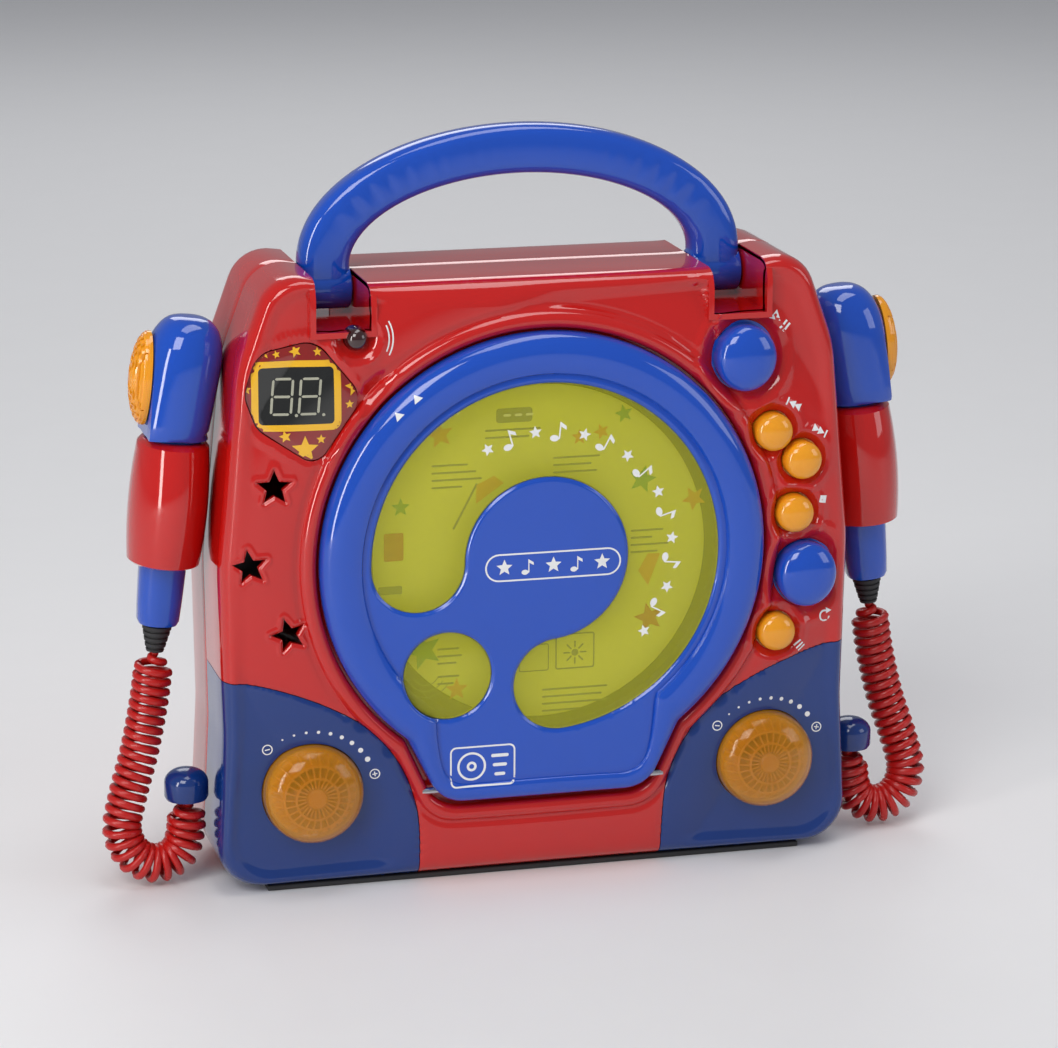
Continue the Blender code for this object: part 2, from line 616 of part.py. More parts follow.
def make_knob(side, name, hand):
    at = (side * KNOB_X, 0, LID_Z - KNOB_DOWN)
    top, foot, back = -HALF_DEPTH, FACE_Y - 0.0005, KNOB_FLANGE_Y
    turns = [math.radians(a) for a in (0, 25, 48, 70, 90)]
    outer = [(KNOB_R * math.sin(a), foot + (top - foot) * math.cos(a)) for a in turns]
    inner_r, inner_top = KNOB_R - KNOB_WALL, top + KNOB_WALL
    inner = [(inner_r * math.sin(a), foot + (inner_top - foot) * math.cos(a)) for a in reversed(turns[1:])]
    stem = [(KNOB_STEM_R, inner_top + 0.0006), (KNOB_STEM_R, -0.0165), (0, -0.0165)]
    profile = outer + [(KNOB_R, back), (KNOB_R + 0.002, back), (KNOB_R + 0.002, back + 0.0015),
                       (inner_r, back + 0.0015)] + inner + stem
    add_piece(name, turned(profile, at, around=26), AMBER, 0.15, at=at)
    pot = [(0, -0.0160), (POT_R * 0.5, -0.0160), (POT_R * 0.5, -0.0140), (POT_R, -0.0140), (POT_R, -0.0060), (0, -0.0060)]
    add_piece(f"volume_control_{hand}", turned(pot, at, around=20), STEEL, 0.4, 1.0)


def make_display():
    add_piece("display_lens", prism(lens_outline(), FACE_Y - 0.0003, FACE_Y + 0.0019), (0.30, 0.01, 0.01), 0.05)
    module = box((-0.1020, -0.0262, LID_Z + 0.0485), (-0.0715, -0.0180, LID_Z + 0.0740))
    add_piece("display_module", module, BLACK, 0.2)
    at = (SENSOR_AT[0], 0, LID_Z + SENSOR_AT[1])
    sensor = [(0, FACE_Y - 0.0012), (SENSOR_R * 0.6, FACE_Y - 0.0009), (SENSOR_R, FACE_Y + 0.0006),
              (SENSOR_R, -0.0240), (0, -0.0240)]
    add_piece("remote_sensor", turned(sensor, at, around=20), (0.05, 0.01, 0.01), 0.1)


def make_handle():
    pivot = (0, HANDLE_PIVOT_Y, LID_Z + HANDLE_PIVOT_UP)
    rise = HANDLE_RISE - HANDLE_LEG
    path = [(HANDLE_X, 0.0), (HANDLE_X, HANDLE_LEG * 0.5)]
    path += [(HANDLE_X * math.cos(a), HANDLE_LEG + rise * math.sin(a)) for a in
             [math.pi * k / 20 for k in range(21)]]
    path += [(-HANDLE_X, HANDLE_LEG * 0.5), (-HANDLE_X, 0.0)]
    rings = []
    for i, (x, z) in enumerate(path):
        ahead, behind = path[min(i + 1, len(path) - 1)], path[max(i - 1, 0)]
        run = Vector((ahead[0] - behind[0], ahead[1] - behind[1])).normalized()
        out = Vector((run.y, -run.x))
        ring = []
        for k in range(10):
            a = 2 * math.pi * k / 10
            across = math.copysign(abs(math.cos(a)) ** 0.6, math.cos(a)) * HANDLE_W / 2
            through = math.copysign(abs(math.sin(a)) ** 0.6, math.sin(a)) * HANDLE_T / 2
            ring.append((x + out.x * across, pivot[1] + through, pivot[2] + z + out.y * across))
        rings.append(ring)
    handle = add_piece("handle", stack(rings), BLUE, 0.15, at=pivot)
    for side, hand in ((-1, "left"), (1, "right")):
        at = (side * HANDLE_X, pivot[1], pivot[2])
        lug = drum(at, HANDLE_T / 2 + 0.0004, -HANDLE_W / 2, HANDLE_W / 2, "X", 24)
        carve(handle, add_piece(f"cut_lug_{hand}", lug), how="UNION")
    for side, hand in ((-1, "left"), (1, "right")):
        at = (side * HANDLE_X, pivot[1], pivot[2])
        carve(handle, add_piece(f"cut_lug_bore_{hand}", drum(at, HANDLE_PIN_R + GAP, -0.02, 0.02, "X", 20)))
        pin = drum(at, HANDLE_PIN_R, -0.0140, 0.0140, "X", 16)
        add_piece(f"handle_pivot_{hand}", pin, STEEL, 0.3, 1.0)


def mic_frame(side):
    """Places a shape built along +Z from the head's underside on one side of the body."""
    lean = Matrix.Rotation(-side * MIC_TILT, 4, "Y")
    return Matrix.Translation((side * MIC_X, MIC_Y, LID_Z + MIC_UP)) @ lean


def ellipses(sizes, around=20):
    """Stack of ellipses (along, half x, half y), bridged along Z."""
    rings = []
    for along, half_x, half_y in sizes:
        turns = [2 * math.pi * k / around for k in range(around)]
        rings.append([(half_x * math.cos(a), half_y * math.sin(a), along) for a in turns])
    return stack(rings)


def placed(bm, frame):
    bmesh.ops.transform(bm, matrix=frame, verts=bm.verts)
    return bm


def make_mic(side, hand):
    frame = mic_frame(side)
    origin = frame.translation
    r, hx, hy, top = MIC_HANDLE_R, MIC_HEAD_X, MIC_HEAD_Y, MIC_HEAD
    shape = [(-MIC_HANDLE, r * 0.62, r * 0.62), (-MIC_HANDLE + 0.002, r * 0.78, r * 0.78), (-MIC_HANDLE * 0.5, r * 0.88, r * 0.88),
             (-0.0001, r, r), (0.0, hx * 0.94, hy * 0.94), (0.003, hx, hy), (top * 0.6, hx, hy),
             (top * 0.82, hx * 0.93, hy * 0.93), (top * 0.93, hx * 0.76, hy * 0.76), (top, hx * 0.40, hy * 0.40)]
    shell = add_piece(f"mic_shell_{hand}", placed(ellipses(shape), frame), BLUE, 0.14, at=origin)
    seat = box((GRILLE_SEAT, -0.03, -0.01), (0.03, 0.03, 0.06)) if side > 0 else \
        box((-0.03, -0.03, -0.01), (-GRILLE_SEAT, 0.03, 0.06))
    pocket = drum((0, 0, GRILLE_UP), CAPSULE_R + GAP, GRILLE_SEAT - 0.008, 0.02, "X", 20)
    if side < 0:
        bmesh.ops.scale(pocket, verts=pocket.verts, vec=(-1, 1, 1))
    carve(shell, add_piece(f"cut_grille_seat_{hand}", placed(seat, frame)))
    carve(shell, add_piece(f"cut_capsule_{hand}", placed(pocket, frame)))
    base = GRILLE_SEAT + GAP
    dome = [(GRILLE_HALF * math.sin(a), base + 0.0008 + (GRILLE_RISE - 0.0008) * math.cos(a)) for a in
            (0, 0.45, 0.85, 1.2, 1.5708)]
    grille = turned(dome + [(GRILLE_HALF, base), (0, base)], (0, 0, 0), "X", 20)
    bmesh.ops.scale(grille, verts=grille.verts, vec=(side, 0.62, 1.0))
    bmesh.ops.translate(grille, verts=grille.verts, vec=(0, 0, GRILLE_UP))
    add_piece(f"mic_grille_{hand}", placed(grille, frame), ORANGE, 0.3, at=origin)
    capsule = drum((0, 0, GRILLE_UP), CAPSULE_R, GRILLE_SEAT - 0.0076, GRILLE_SEAT, "X", 18)
    bmesh.ops.scale(capsule, verts=capsule.verts, vec=(side, 1, 1))
    add_piece(f"mic_capsule_{hand}", placed(capsule, frame), STEEL, 0.35, 1.0, at=origin)
    start = -MIC_HANDLE - GAP
    relief = [(start, 0.0052, 0.0052), (start - 0.002, 0.0052, 0.0052), (start - RELIEF, 0.0030, 0.0030)]
    add_piece(f"mic_strain_relief_{hand}", placed(ellipses(relief, 16), frame), BLACK, 0.6, at=origin)
    make_holster(side, hand, frame)


def make_holster(side, hand, frame):
    end = -HOLSTER_LENGTH
    shape = [(end, 0.0118, 0.0132), (end + 0.003, 0.0128, 0.0150), (end * 0.72, 0.0134, 0.0178),
             (end * 0.45, 0.0136, 0.0186), (end * 0.16, 0.0132, 0.0172), (-GAP - 0.001, 0.0124, 0.0150),
             (-GAP, 0.0120, 0.0144)]
    holster = add_piece(f"mic_holster_{hand}", placed(ellipses(shape, 22), frame), RED, 0.12)
    channel = ellipses([(-0.06, MIC_HANDLE_R + HOLSTER_CLEAR, MIC_HANDLE_R + HOLSTER_CLEAR),
                        (0.01, MIC_HANDLE_R + HOLSTER_CLEAR, MIC_HANDLE_R + HOLSTER_CLEAR)])
    slot = box((-CORD_SLOT / 2, 0.0, -0.06), (CORD_SLOT / 2, 0.03, 0.01))
    carve(holster, add_piece(f"cut_channel_{hand}", placed(channel, frame)))
    carve(holster, add_piece(f"cut_cord_slot_{hand}", placed(slot, frame)))
    side_wall = add_piece(f"cut_body_side_{hand}", prism(body_outline(GAP), -0.05, 0.05))
    carve(holster, side_wall)


def smooth_route(route, steps):
    """Points along a Catmull-Rom curve through the route's own points."""
    ends = [route[0] * 2 - route[1]] + route + [route[-1] * 2 - route[-2]]
    points = []
    for a, b, c, d in zip(ends, ends[1:], ends[2:], ends[3:]):
        for k in range(steps):
            t = k / steps
            points.append(0.5 * ((2 * b) + (c - a) * t + (2 * a - 5 * b + 4 * c - d) * t * t
                                 + (3 * b - a - 3 * c + d) * t ** 3))
    return points + [route[-1]]


def make_cord(side, hand):
    tip = mic_frame(1) @ Vector((0, 0, -MIC_HANDLE - 2 * GAP - RELIEF))
    route = [tip, Vector((0.1345, 0.0015, 0.066)), Vector((0.1385, 0.0000, 0.048)), Vector((0.1435, -0.0025, 0.032)),
             Vector((0.1460, -0.0045, 0.020)), Vector((0.1420, -0.0060, 0.0110)), Vector((0.1340, -0.0065, 0.0078)),
             Vector((0.1265, -0.0065, 0.0112)), Vector((0.1237, -0.0062, 0.0195)),
             Vector((GLAND_X, GLAND_Y, GLAND_LOW - GAP))]
    data = bpy.data.curves.new(f"mic_cord_{hand}", "CURVE")
    data.dimensions = "3D"
    data.bevel_depth = CORD_R
    data.bevel_resolution = 2
    data.use_fill_caps = True
    spline = data.splines.new("POLY")
    points = smooth_route(route, 3)
    spline.points.add(len(points) - 1)
    for point, place in zip(spline.points, points):
        point.co = (side * place.x, place.y, place.z, 1.0)
    cord = bpy.data.objects.new(f"mic_cord_{hand}", data)
    bpy.context.scene.collection.objects.link(cord)
    data.materials.append(material(f"mic_cord_{hand}", RED, 0.35))
    gland = ellipses([(GLAND_LOW, 0.0060, 0.0060), (GLAND_LOW + 0.001, GLAND_R * 0.92, GLAND_R * 0.92),
                      (GLAND_LOW + 0.003, GLAND_R, GLAND_R), (GLAND_TOP - 0.004, GLAND_R, GLAND_R),
                      (GLAND_TOP - 0.001, GLAND_R * 0.8, GLAND_R * 0.8), (GLAND_TOP, GLAND_R * 0.5, GLAND_R * 0.5)], 20)
    bmesh.ops.translate(gland, verts=gland.verts, vec=(side * GLAND_X, GLAND_Y, 0.0))
    piece = add_piece(f"cord_gland_{hand}", gland, BLACK, 0.5)
    carve(piece, bpy.data.objects[f"cut_body_side_{hand}"])


def make_back():
    rear = bpy.data.objects["rear_shell"]
    low, high = LID_Z + BAY_LOW, LID_Z + BAY_HIGH
    opening = box((-BAY_X, HALF_DEPTH - 0.006, low), (BAY_X, HALF_DEPTH + 0.01, high))
    carve(rear, add_piece("cut_bay", opening))
    tray_back = HALF_DEPTH - WALL - GAP
    tray = add_piece("battery_tray", box((-BAY_X - BAY_WALL, BAY_FLOOR_Y, low - BAY_WALL),
                                         (BAY_X + BAY_WALL, tray_back, high + BAY_WALL)), BLACK, 0.45)
    carve(tray, add_piece("cut_tray", box((-BAY_X, BAY_FLOOR_Y + BAY_WALL, low), (BAY_X, 0.06, high))))
    door = box((-BAY_X + DOOR_GAP, HALF_DEPTH - WALL, low + DOOR_GAP), (BAY_X - DOOR_GAP, HALF_DEPTH, high - DOOR_GAP))
    bmesh.ops.bevel(door, geom=[e for e in door.edges if abs(e.verts[0].co.y - e.verts[1].co.y) > 0.001],
                    offset=0.002, segments=3, affect="EDGES", profile=0.5, material=-1)
    door_piece = add_piece("battery_door", door, RED, 0.2)
    grip = box((-0.012, HALF_DEPTH - 0.0009, high - 0.010), (0.012, HALF_DEPTH + 0.01, high - 0.0055))
    carve(door_piece, add_piece("cut_door_grip", grip))
    for side, hand in ((-1, "left"), (1, "right")):
        inner, outer = BAY_X - 0.0008, BAY_X - GAP
        xs = sorted((side * inner, side * outer))
        plate = box((xs[0], BAY_FLOOR_Y + 0.006, low + 0.004), (xs[1], tray_back - 0.004, high - 0.004))
        add_piece(f"battery_contact_{hand}", plate, STEEL, 0.25, 1.0)


def make_sockets():
    rear = bpy.data.objects["rear_shell"]
    y = 0.0200
    for name, z, radius, bore, post in (("headphone_socket", -0.0520, 0.0048, 0.0018, False),
                                        ("adaptor_socket", -0.0740, 0.0062, 0.0029, True)):
        face = reach(body_outline(), math.atan2(z, HALF_WIDTH)) * math.cos(math.atan2(z, HALF_WIDTH)) + 0.0006
        at = (0, y, LID_Z + z)
        profile = [(0, face - 0.0160), (radius, face - 0.0160), (radius, face - 0.0002), (bore + 0.0012, face),
                   (bore, face - 0.0005), (bore, face - 0.0130)]
        profile += [(0.0009, face - 0.0130), (0.0009, face - 0.0030), (0, face - 0.0030)] if post else \
            [(0, face - 0.0130)]
        add_piece(name, turned(profile, at, "X", 20), BLACK, 0.3)
        carve(rear, add_piece(f"cut_{name}", drum(at, radius + GAP, 0.095, 0.13, "X", 24)))


def make_inside():
    at = (-0.0880, 0, LID_Z - 0.001)
    speaker = [(0, -0.0180), (0.0070, -0.0172), (0.0165, -0.0192), (0.0200, -0.0200), (0.0200, -0.0184),
               (0.0170, -0.0172), (0.0110, -0.0100), (0.0110, -0.0040), (0, -0.0040)]
    add_piece("speaker", turned(speaker, at, around=22), BLACK, 0.5)
    board = add_piece("main_board", box((-0.050, 0.0070, LID_Z + 0.030), (0.050, 0.0086, LID_Z + 0.0760)), GREEN, 0.4)
    chips = ((-0.030, 0.045, 0.007), (0.004, 0.055, 0.010), (0.033, 0.044, 0.006))
    for k, (x, z, half) in enumerate(chips):
        chip = box((x - half, 0.0085, LID_Z + z - half), (x + half, 0.0110, LID_Z + z + half))
        carve(board, add_piece(f"cut_chip_{k}", chip), how="UNION")
    pad = box((-PAD_X, -PAD_Y, 0.0), (PAD_X, PAD_Y, BASE_Z - GAP))
    bmesh.ops.bevel(pad, geom=[e for e in pad.edges if abs(e.verts[0].co.z - e.verts[1].co.z) > 0.001],
                    offset=0.004, segments=3, affect="EDGES", profile=0.5, material=-1)
    add_piece("base_pad", pad, BLACK, 0.8)


def build():
    clear_scene()
    make_shells()
    make_lid()
    make_mechanism()
    make_controls()
    make_display()
    make_handle()
    for side, hand in ((-1, "left"), (1, "right")):
        make_mic(side, hand)
        make_cord(side, hand)
    make_back()
    make_sockets()
    make_inside()


build()
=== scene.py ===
import json
import math
import bmesh
import bpy
import numpy as np
from mathutils import Matrix, Vector
from mathutils.bvhtree import BVHTree

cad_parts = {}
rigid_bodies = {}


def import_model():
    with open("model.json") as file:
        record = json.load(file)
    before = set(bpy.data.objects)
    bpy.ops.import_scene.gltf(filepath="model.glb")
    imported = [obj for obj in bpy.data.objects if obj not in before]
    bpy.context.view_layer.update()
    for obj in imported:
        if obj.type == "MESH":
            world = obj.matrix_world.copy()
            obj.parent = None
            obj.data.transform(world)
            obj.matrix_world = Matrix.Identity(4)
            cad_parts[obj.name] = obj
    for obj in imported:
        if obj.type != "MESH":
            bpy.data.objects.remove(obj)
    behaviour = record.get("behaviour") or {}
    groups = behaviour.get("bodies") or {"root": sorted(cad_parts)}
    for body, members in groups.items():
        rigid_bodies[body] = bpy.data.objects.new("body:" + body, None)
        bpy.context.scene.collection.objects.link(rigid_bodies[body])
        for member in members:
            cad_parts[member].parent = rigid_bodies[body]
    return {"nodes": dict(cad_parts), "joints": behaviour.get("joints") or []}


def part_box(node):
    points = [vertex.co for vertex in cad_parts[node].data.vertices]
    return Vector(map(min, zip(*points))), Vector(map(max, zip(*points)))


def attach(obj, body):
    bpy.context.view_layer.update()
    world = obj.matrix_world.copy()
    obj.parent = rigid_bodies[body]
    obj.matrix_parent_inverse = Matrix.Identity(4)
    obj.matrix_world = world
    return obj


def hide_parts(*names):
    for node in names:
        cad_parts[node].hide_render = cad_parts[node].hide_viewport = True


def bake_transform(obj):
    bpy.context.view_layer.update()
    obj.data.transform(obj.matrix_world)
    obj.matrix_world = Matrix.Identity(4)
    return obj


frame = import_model()
for thing in [o for o in bpy.data.objects if o.name in ("Cube", "Light", "Camera")]:
    bpy.data.objects.remove(thing)           # what a new file starts with
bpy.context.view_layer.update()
joints = {j["name"]: j for j in frame["joints"]}
lidZ = joints["disc_spin"]["pos_m"][2]       # height of the middle of the lid
sides = ((-1, "left"), (1, "right"))
whole = 2 * math.pi
print("frame loaded, middle of the lid at", round(lidZ, 4))


# small tools shared by the pieces
def step(low, high, value):
    t = np.clip((value - low) / (high - low), 0.0, 1.0)
    return t * t * (3 - 2 * t)


def hump(value, middle, width):
    return np.exp(-((value - middle) / width) ** 2)


def coordsOf(bm):
    return np.array([v.co for v in bm.verts], float).reshape(-1, 3)


def spot(x, z):
    return x, 0, lidZ + z


def arcPoints(turns, radius, x=0.0, z=0.0):
    return [(x + radius * math.cos(a), z + radius * math.sin(a)) for a in turns]


def moveTo(bm, places):
    for vert, place in zip(bm.verts, places):
        vert.co = place


# a grid whose vertices place(row, angle) puts on a swept or spun form; seams and poles are merged
def wrapGrid(place, along, around, capped=False):
    bm = bmesh.new()
    bmesh.ops.create_grid(bm, x_segments=along, y_segments=around, size=1.0)
    flat = coordsOf(bm)
    row = np.rint((flat[:, 0] + 1) / 2 * along).astype(int)
    angle = np.rint((flat[:, 1] + 1) / 2 * around) % around * whole / around
    moveTo(bm, np.stack(place(row, angle), axis=1))
    bmesh.ops.remove_doubles(bm, verts=bm.verts, dist=1e-6)
    bmesh.ops.dissolve_degenerate(bm, dist=1e-7, edges=bm.edges)
    if capped:
        bmesh.ops.holes_fill(bm, edges=[e for e in bm.edges if e.is_boundary], sides=0)
    bmesh.ops.recalc_face_normals(bm, faces=bm.faces)
    return bm


# spin (radius, along) points about an axis through centre
def spun(profile, around=48, axis="Y", centre=(0, 0, 0), oval=1.0):
    bm = bmesh.new()
    chain = [bm.verts.new((radius, along, 0.0)) for radius, along in profile]
    for a, b in zip(chain, chain[1:]):
        bm.edges.new((a, b))
    bmesh.ops.spin(bm, geom=bm.verts[:] + bm.edges[:], cent=(0, 0, 0), axis=(0, 1, 0), angle=whole,
                   steps=around, use_merge=True)
    bmesh.ops.remove_doubles(bm, verts=bm.verts, dist=1e-6)
    bmesh.ops.scale(bm, verts=bm.verts, vec=(1, 1, oval))
    if axis == "X":
        bmesh.ops.rotate(bm, verts=bm.verts, cent=(0, 0, 0), matrix=Matrix.Rotation(-math.pi / 2, 3, "Z"))
    if axis == "Z":
        bmesh.ops.rotate(bm, verts=bm.verts, cent=(0, 0, 0), matrix=Matrix.Rotation(math.pi / 2, 3, "X"))
    bmesh.ops.translate(bm, verts=bm.verts, vec=centre)
    bmesh.ops.recalc_face_normals(bm, faces=bm.faces)
    return bm


def punch(radius, low, high, around, axis, centre, oval=1.0):
    return spun([(0, low), (radius, low), (radius, high), (0, high)], around, axis, centre, oval)


def soften(bm, edges, round_, segments):
    bmesh.ops.bevel(bm, geom=edges, offset=round_, segments=segments, affect="EDGES", profile=0.5,
                    material=-1, clamp_overlap=True)


# make a solid of one face
def thicken(bm, face, vec):
    grown = bmesh.ops.extrude_face_region(bm, geom=[face])["geom"]
    bmesh.ops.translate(bm, verts=[g for g in grown if isinstance(g, bmesh.types.BMVert)], vec=vec)
    bmesh.ops.recalc_face_normals(bm, faces=bm.faces)


def boxed(low, high, round_=0.0, segments=3):
    bm = bmesh.new()
    bmesh.ops.create_cube(bm, size=1.0)
    low, high = Vector(low), Vector(high)
    bmesh.ops.scale(bm, verts=bm.verts, vec=high - low)
    bmesh.ops.translate(bm, verts=bm.verts, vec=(low + high) / 2)
    if round_:
        soften(bm, bm.edges[:], round_, segments)
    return bm


# an (x, z) outline about the middle of the lid, extruded along Y from low to high, its edges rounded
def plate(outline, low, high, round_=0.0, segments=3):
    bm = bmesh.new()
    face = bm.faces.new([bm.verts.new((x, low, lidZ + z)) for x, z in outline])
    thicken(bm, face, (0, high - low, 0))
    if round_:
        rims = [e for e in bm.edges if abs(e.verts[0].co.y - e.verts[1].co.y) < 1e-7]
        soften(bm, rims, round_, segments)
    return bm


# add other bmeshes to bm, giving their faces a material number, and free them
def joinInto(bm, *others, paint=None):
    for other in others:
        if paint is not None:
            for face in other.faces:
                face.material_index = paint
        mesh = bpy.data.meshes.new("part")
        other.to_mesh(mesh)
        other.free()
        bm.from_mesh(mesh)
        bpy.data.meshes.remove(mesh)
    return bm


def rawObject(name, bm):
    mesh = bpy.data.meshes.new(name)
    bm.to_mesh(mesh)
    bm.free()
    piece = bpy.data.objects.new(name, mesh)
    bpy.context.scene.collection.objects.link(piece)
    return piece


# replace a piece's mesh by what its modifiers make of it
def bake(piece):
    graph = bpy.context.evaluated_depsgraph_get()
    mesh = bpy.data.meshes.new_from_object(piece.evaluated_get(graph))
    piece.modifiers.clear()
    old, piece.data = piece.data, mesh
    bpy.data.meshes.remove(old)
    return piece


# tangled: for a piece that has folds tight enough to touch themselves
def cutBy(piece, *tools, how="DIFFERENCE", tangled=False):
    for tool in tools:
        cutter = rawObject("cutter", tool)
        cut = piece.modifiers.new("cut", "BOOLEAN")
        cut.operation = how
        cut.solver = "EXACT"
        cut.use_self = tangled
        cut.object = cutter
        bake(piece)
        bpy.data.objects.remove(cutter)
    return piece


def settle(piece, paints, body, stands=(), sharp=35):
    for paint in paints if isinstance(paints, (list, tuple)) else [paints]:
        piece.data.materials.append(paint)
    piece.data.shade_smooth()
    piece.data.set_sharp_from_angle(angle=math.radians(sharp))
    if body:
        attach(piece, body)
    if stands:
        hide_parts(*([stands] if isinstance(stands, str) else stands))
    return piece


# closed outline through (x, z, radius) corners, each rounded by its own arc
def rounded(corners, turn=math.radians(3)):
    points = []
    for i, (x, z, radius) in enumerate(corners):
        here = Vector((x, z))
        before = (Vector(corners[i - 1][:2]) - here).normalized()
        after = (Vector(corners[(i + 1) % len(corners)][:2]) - here).normalized()
        if radius == 0:
            points.append(tuple(here))
            continue
        half = before.angle(after) / 2
        centre = here + (before + after).normalized() * radius / math.sin(half)
        start = here + before * radius / math.tan(half) - centre
        end = here + after * radius / math.tan(half) - centre
        bend = start.angle_signed(end)
        steps = max(1, math.ceil(abs(bend) / turn))
        points += [tuple(centre + Matrix.Rotation(-bend * k / steps, 2) @ start) for k in range(steps + 1)]
    return points


# distance from the middle of the lid to an outline, as a function of the angle
def reachOf(outline):
    points = np.array(outline)
    closer = []
    for k in range(len(points)):      # long straight runs get points between, so that the distance stays true
        a, b = points[k], points[(k + 1) % len(points)]
        n = max(1, int(np.hypot(*(b - a)) / 0.0008))
        closer += [a + (b - a) * m / n for m in range(n)]
    closer = np.array(closer)
    angles, radii = np.arctan2(closer[:, 1], closer[:, 0]), np.hypot(closer[:, 0], closer[:, 1])
    order = np.argsort(angles)
    angles, radii = angles[order], radii[order]
    return lambda angle: np.interp(angle, angles, radii, period=whole)


# signed distance to a closed outline, negative inside
def outside(outline, x, z):
    points = np.array(outline)
    best = np.full(x.shape, 1e9)
    inside = np.zeros(x.shape, bool)
    for a, b in zip(points, np.roll(points, -1, axis=0)):
        run = b - a
        t = np.clip(((x - a[0]) * run[0] + (z - a[1]) * run[1]) / (run @ run), 0, 1)
        best = np.minimum(best, np.hypot(x - a[0] - t * run[0], z - a[1] - t * run[1]))
        if a[1] != b[1]:
            crosses = (a[1] > z) != (b[1] > z)
            inside ^= crosses & (x < run[0] * (z - a[1]) / run[1] + a[0])
    return np.where(inside, -best, best)


def starOutline(x, z, size, tilt=0.0, waist=0.45):
    turns = [math.radians(90 + tilt + 36 * k) for k in range(10)]
    reach = [size * (1 if k % 2 == 0 else waist) for k in range(10)]
    return [(x + r * math.cos(a), z + r * math.sin(a)) for r, a in zip(reach, turns)]


def circleOutline(x, z, radius, count=40):
    return arcPoints([whole * k / count for k in range(count)], radius, x, z)


def panelOutline(left, right, low, high, corner, degrees=15):
    return rounded([(left, low, corner), (right, low, corner), (right, high, corner), (left, high, corner)],
                   math.radians(degrees))


# camera
cameraKit = {"place": (-0.3504, -1.3093, 0.4746), "azimuth": 15.09, "elevation": -14.617, "roll": 0.31,
             "lens": 134.2}


def makeCamera(kit):
    across, up = math.radians(kit["azimuth"]), math.radians(kit["elevation"])
    ahead = Vector((math.cos(up) * math.sin(across), math.cos(up) * math.cos(across), math.sin(up)))
    data = bpy.data.cameras.new("camera")
    data.lens, data.sensor_width = kit["lens"], 36.0
    data.clip_start, data.clip_end = 0.1, 20.0
    camera = bpy.data.objects.new("camera", data)
    bpy.context.scene.collection.objects.link(camera)
    turn = ahead.to_track_quat("-Z", "Y").to_matrix() @ Matrix.Rotation(math.radians(kit["roll"]), 3, "Z")
    camera.matrix_world = Matrix.Translation(kit["place"]) @ turn.to_4x4()
    bpy.context.scene.camera = camera


makeCamera(cameraKit)
print("camera placed")


# materials, all over one shared surface group
def newGroup(name, inputs, outputs):
    group = bpy.data.node_groups.new(name, "ShaderNodeTree")
    for label, kind, value in inputs:
        socket = group.interface.new_socket(name=label, in_out="INPUT", socket_type=kind)
        socket.default_value = value
    for label, kind in outputs:
        group.interface.new_socket(name=label, in_out="OUTPUT", socket_type=kind)
    return group, group.nodes.new("NodeGroupInput"), group.nodes.new("NodeGroupOutput")


def addNode(tree, kind, **values):
    node = tree.nodes.new(kind)
    for key, value in values.items():
        if key in node.inputs:
            node.inputs[key].default_value = value
        else:
            setattr(node, key, value)
    return node


# moulded or printed surface: faint flow in the colour, smudges in the gloss, fine unevenness
def makeSurfaceGroup():
    group, given, made = newGroup("mouldedSurface", [
        ("Colour", "NodeSocketColor", (1, 1, 1, 1)), ("Shade", "NodeSocketColor", (1, 1, 1, 1)),
        ("Gloss", "NodeSocketFloat", 0.1), ("Smudge", "NodeSocketFloat", 0.08),
        ("Ripple", "NodeSocketFloat", 0.02), ("Grain", "NodeSocketFloat", 0.0)],
        [("Colour", "NodeSocketColor"), ("Roughness", "NodeSocketFloat"), ("Normal", "NodeSocketVector")])
    link = group.links.new
    where = addNode(group, "ShaderNodeTexCoord").outputs["Object"]
    flow = addNode(group, "ShaderNodeTexNoise", Scale=22.0, Detail=3.0, Roughness=0.55)
    smudge = addNode(group, "ShaderNodeTexNoise", Scale=70.0, Detail=6.0, Roughness=0.65)
    dust = addNode(group, "ShaderNodeTexNoise", Scale=1500.0, Detail=2.0, Roughness=0.5)
    wave = addNode(group, "ShaderNodeTexNoise", Scale=55.0, Detail=1.0, Roughness=0.4)
    grain = addNode(group, "ShaderNodeTexNoise", Scale=2600.0, Detail=2.0, Roughness=0.5)
    for texture in (flow, smudge, dust, wave, grain):
        link(where, texture.inputs["Vector"])
    tint = addNode(group, "ShaderNodeMix", data_type="RGBA")
    link(flow.outputs["Fac"], tint.inputs[0])
    link(given.outputs["Colour"], tint.inputs[6])
    link(given.outputs["Shade"], tint.inputs[7])
    link(tint.outputs[2], made.inputs["Colour"])
    spread = addNode(group, "ShaderNodeMapRange", **{"From Min": 0.42, "From Max": 0.75})
    link(smudge.outputs["Fac"], spread.inputs["Value"])
    speck = addNode(group, "ShaderNodeMapRange", **{"From Min": 0.66, "From Max": 0.74})
    link(dust.outputs["Fac"], speck.inputs["Value"])
    both = addNode(group, "ShaderNodeMath", operation="ADD")
    link(spread.outputs["Result"], both.inputs[0])
    link(speck.outputs["Result"], both.inputs[1])
    rough = addNode(group, "ShaderNodeMath", operation="MULTIPLY_ADD")
    link(both.outputs[0], rough.inputs[0])
    link(given.outputs["Smudge"], rough.inputs[1])
    link(given.outputs["Gloss"], rough.inputs[2])
    link(rough.outputs[0], made.inputs["Roughness"])
    first = addNode(group, "ShaderNodeBump", Distance=0.0006)
    link(wave.outputs["Fac"], first.inputs["Height"])
    link(given.outputs["Ripple"], first.inputs["Strength"])
    second = addNode(group, "ShaderNodeBump", Distance=0.00012)
    link(grain.outputs["Fac"], second.inputs["Height"])
    link(given.outputs["Grain"], second.inputs["Strength"])
    link(first.outputs["Normal"], second.inputs["Normal"])
    link(second.outputs["Normal"], made.inputs["Normal"])
    return group


surfaceGroup = makeSurfaceGroup()


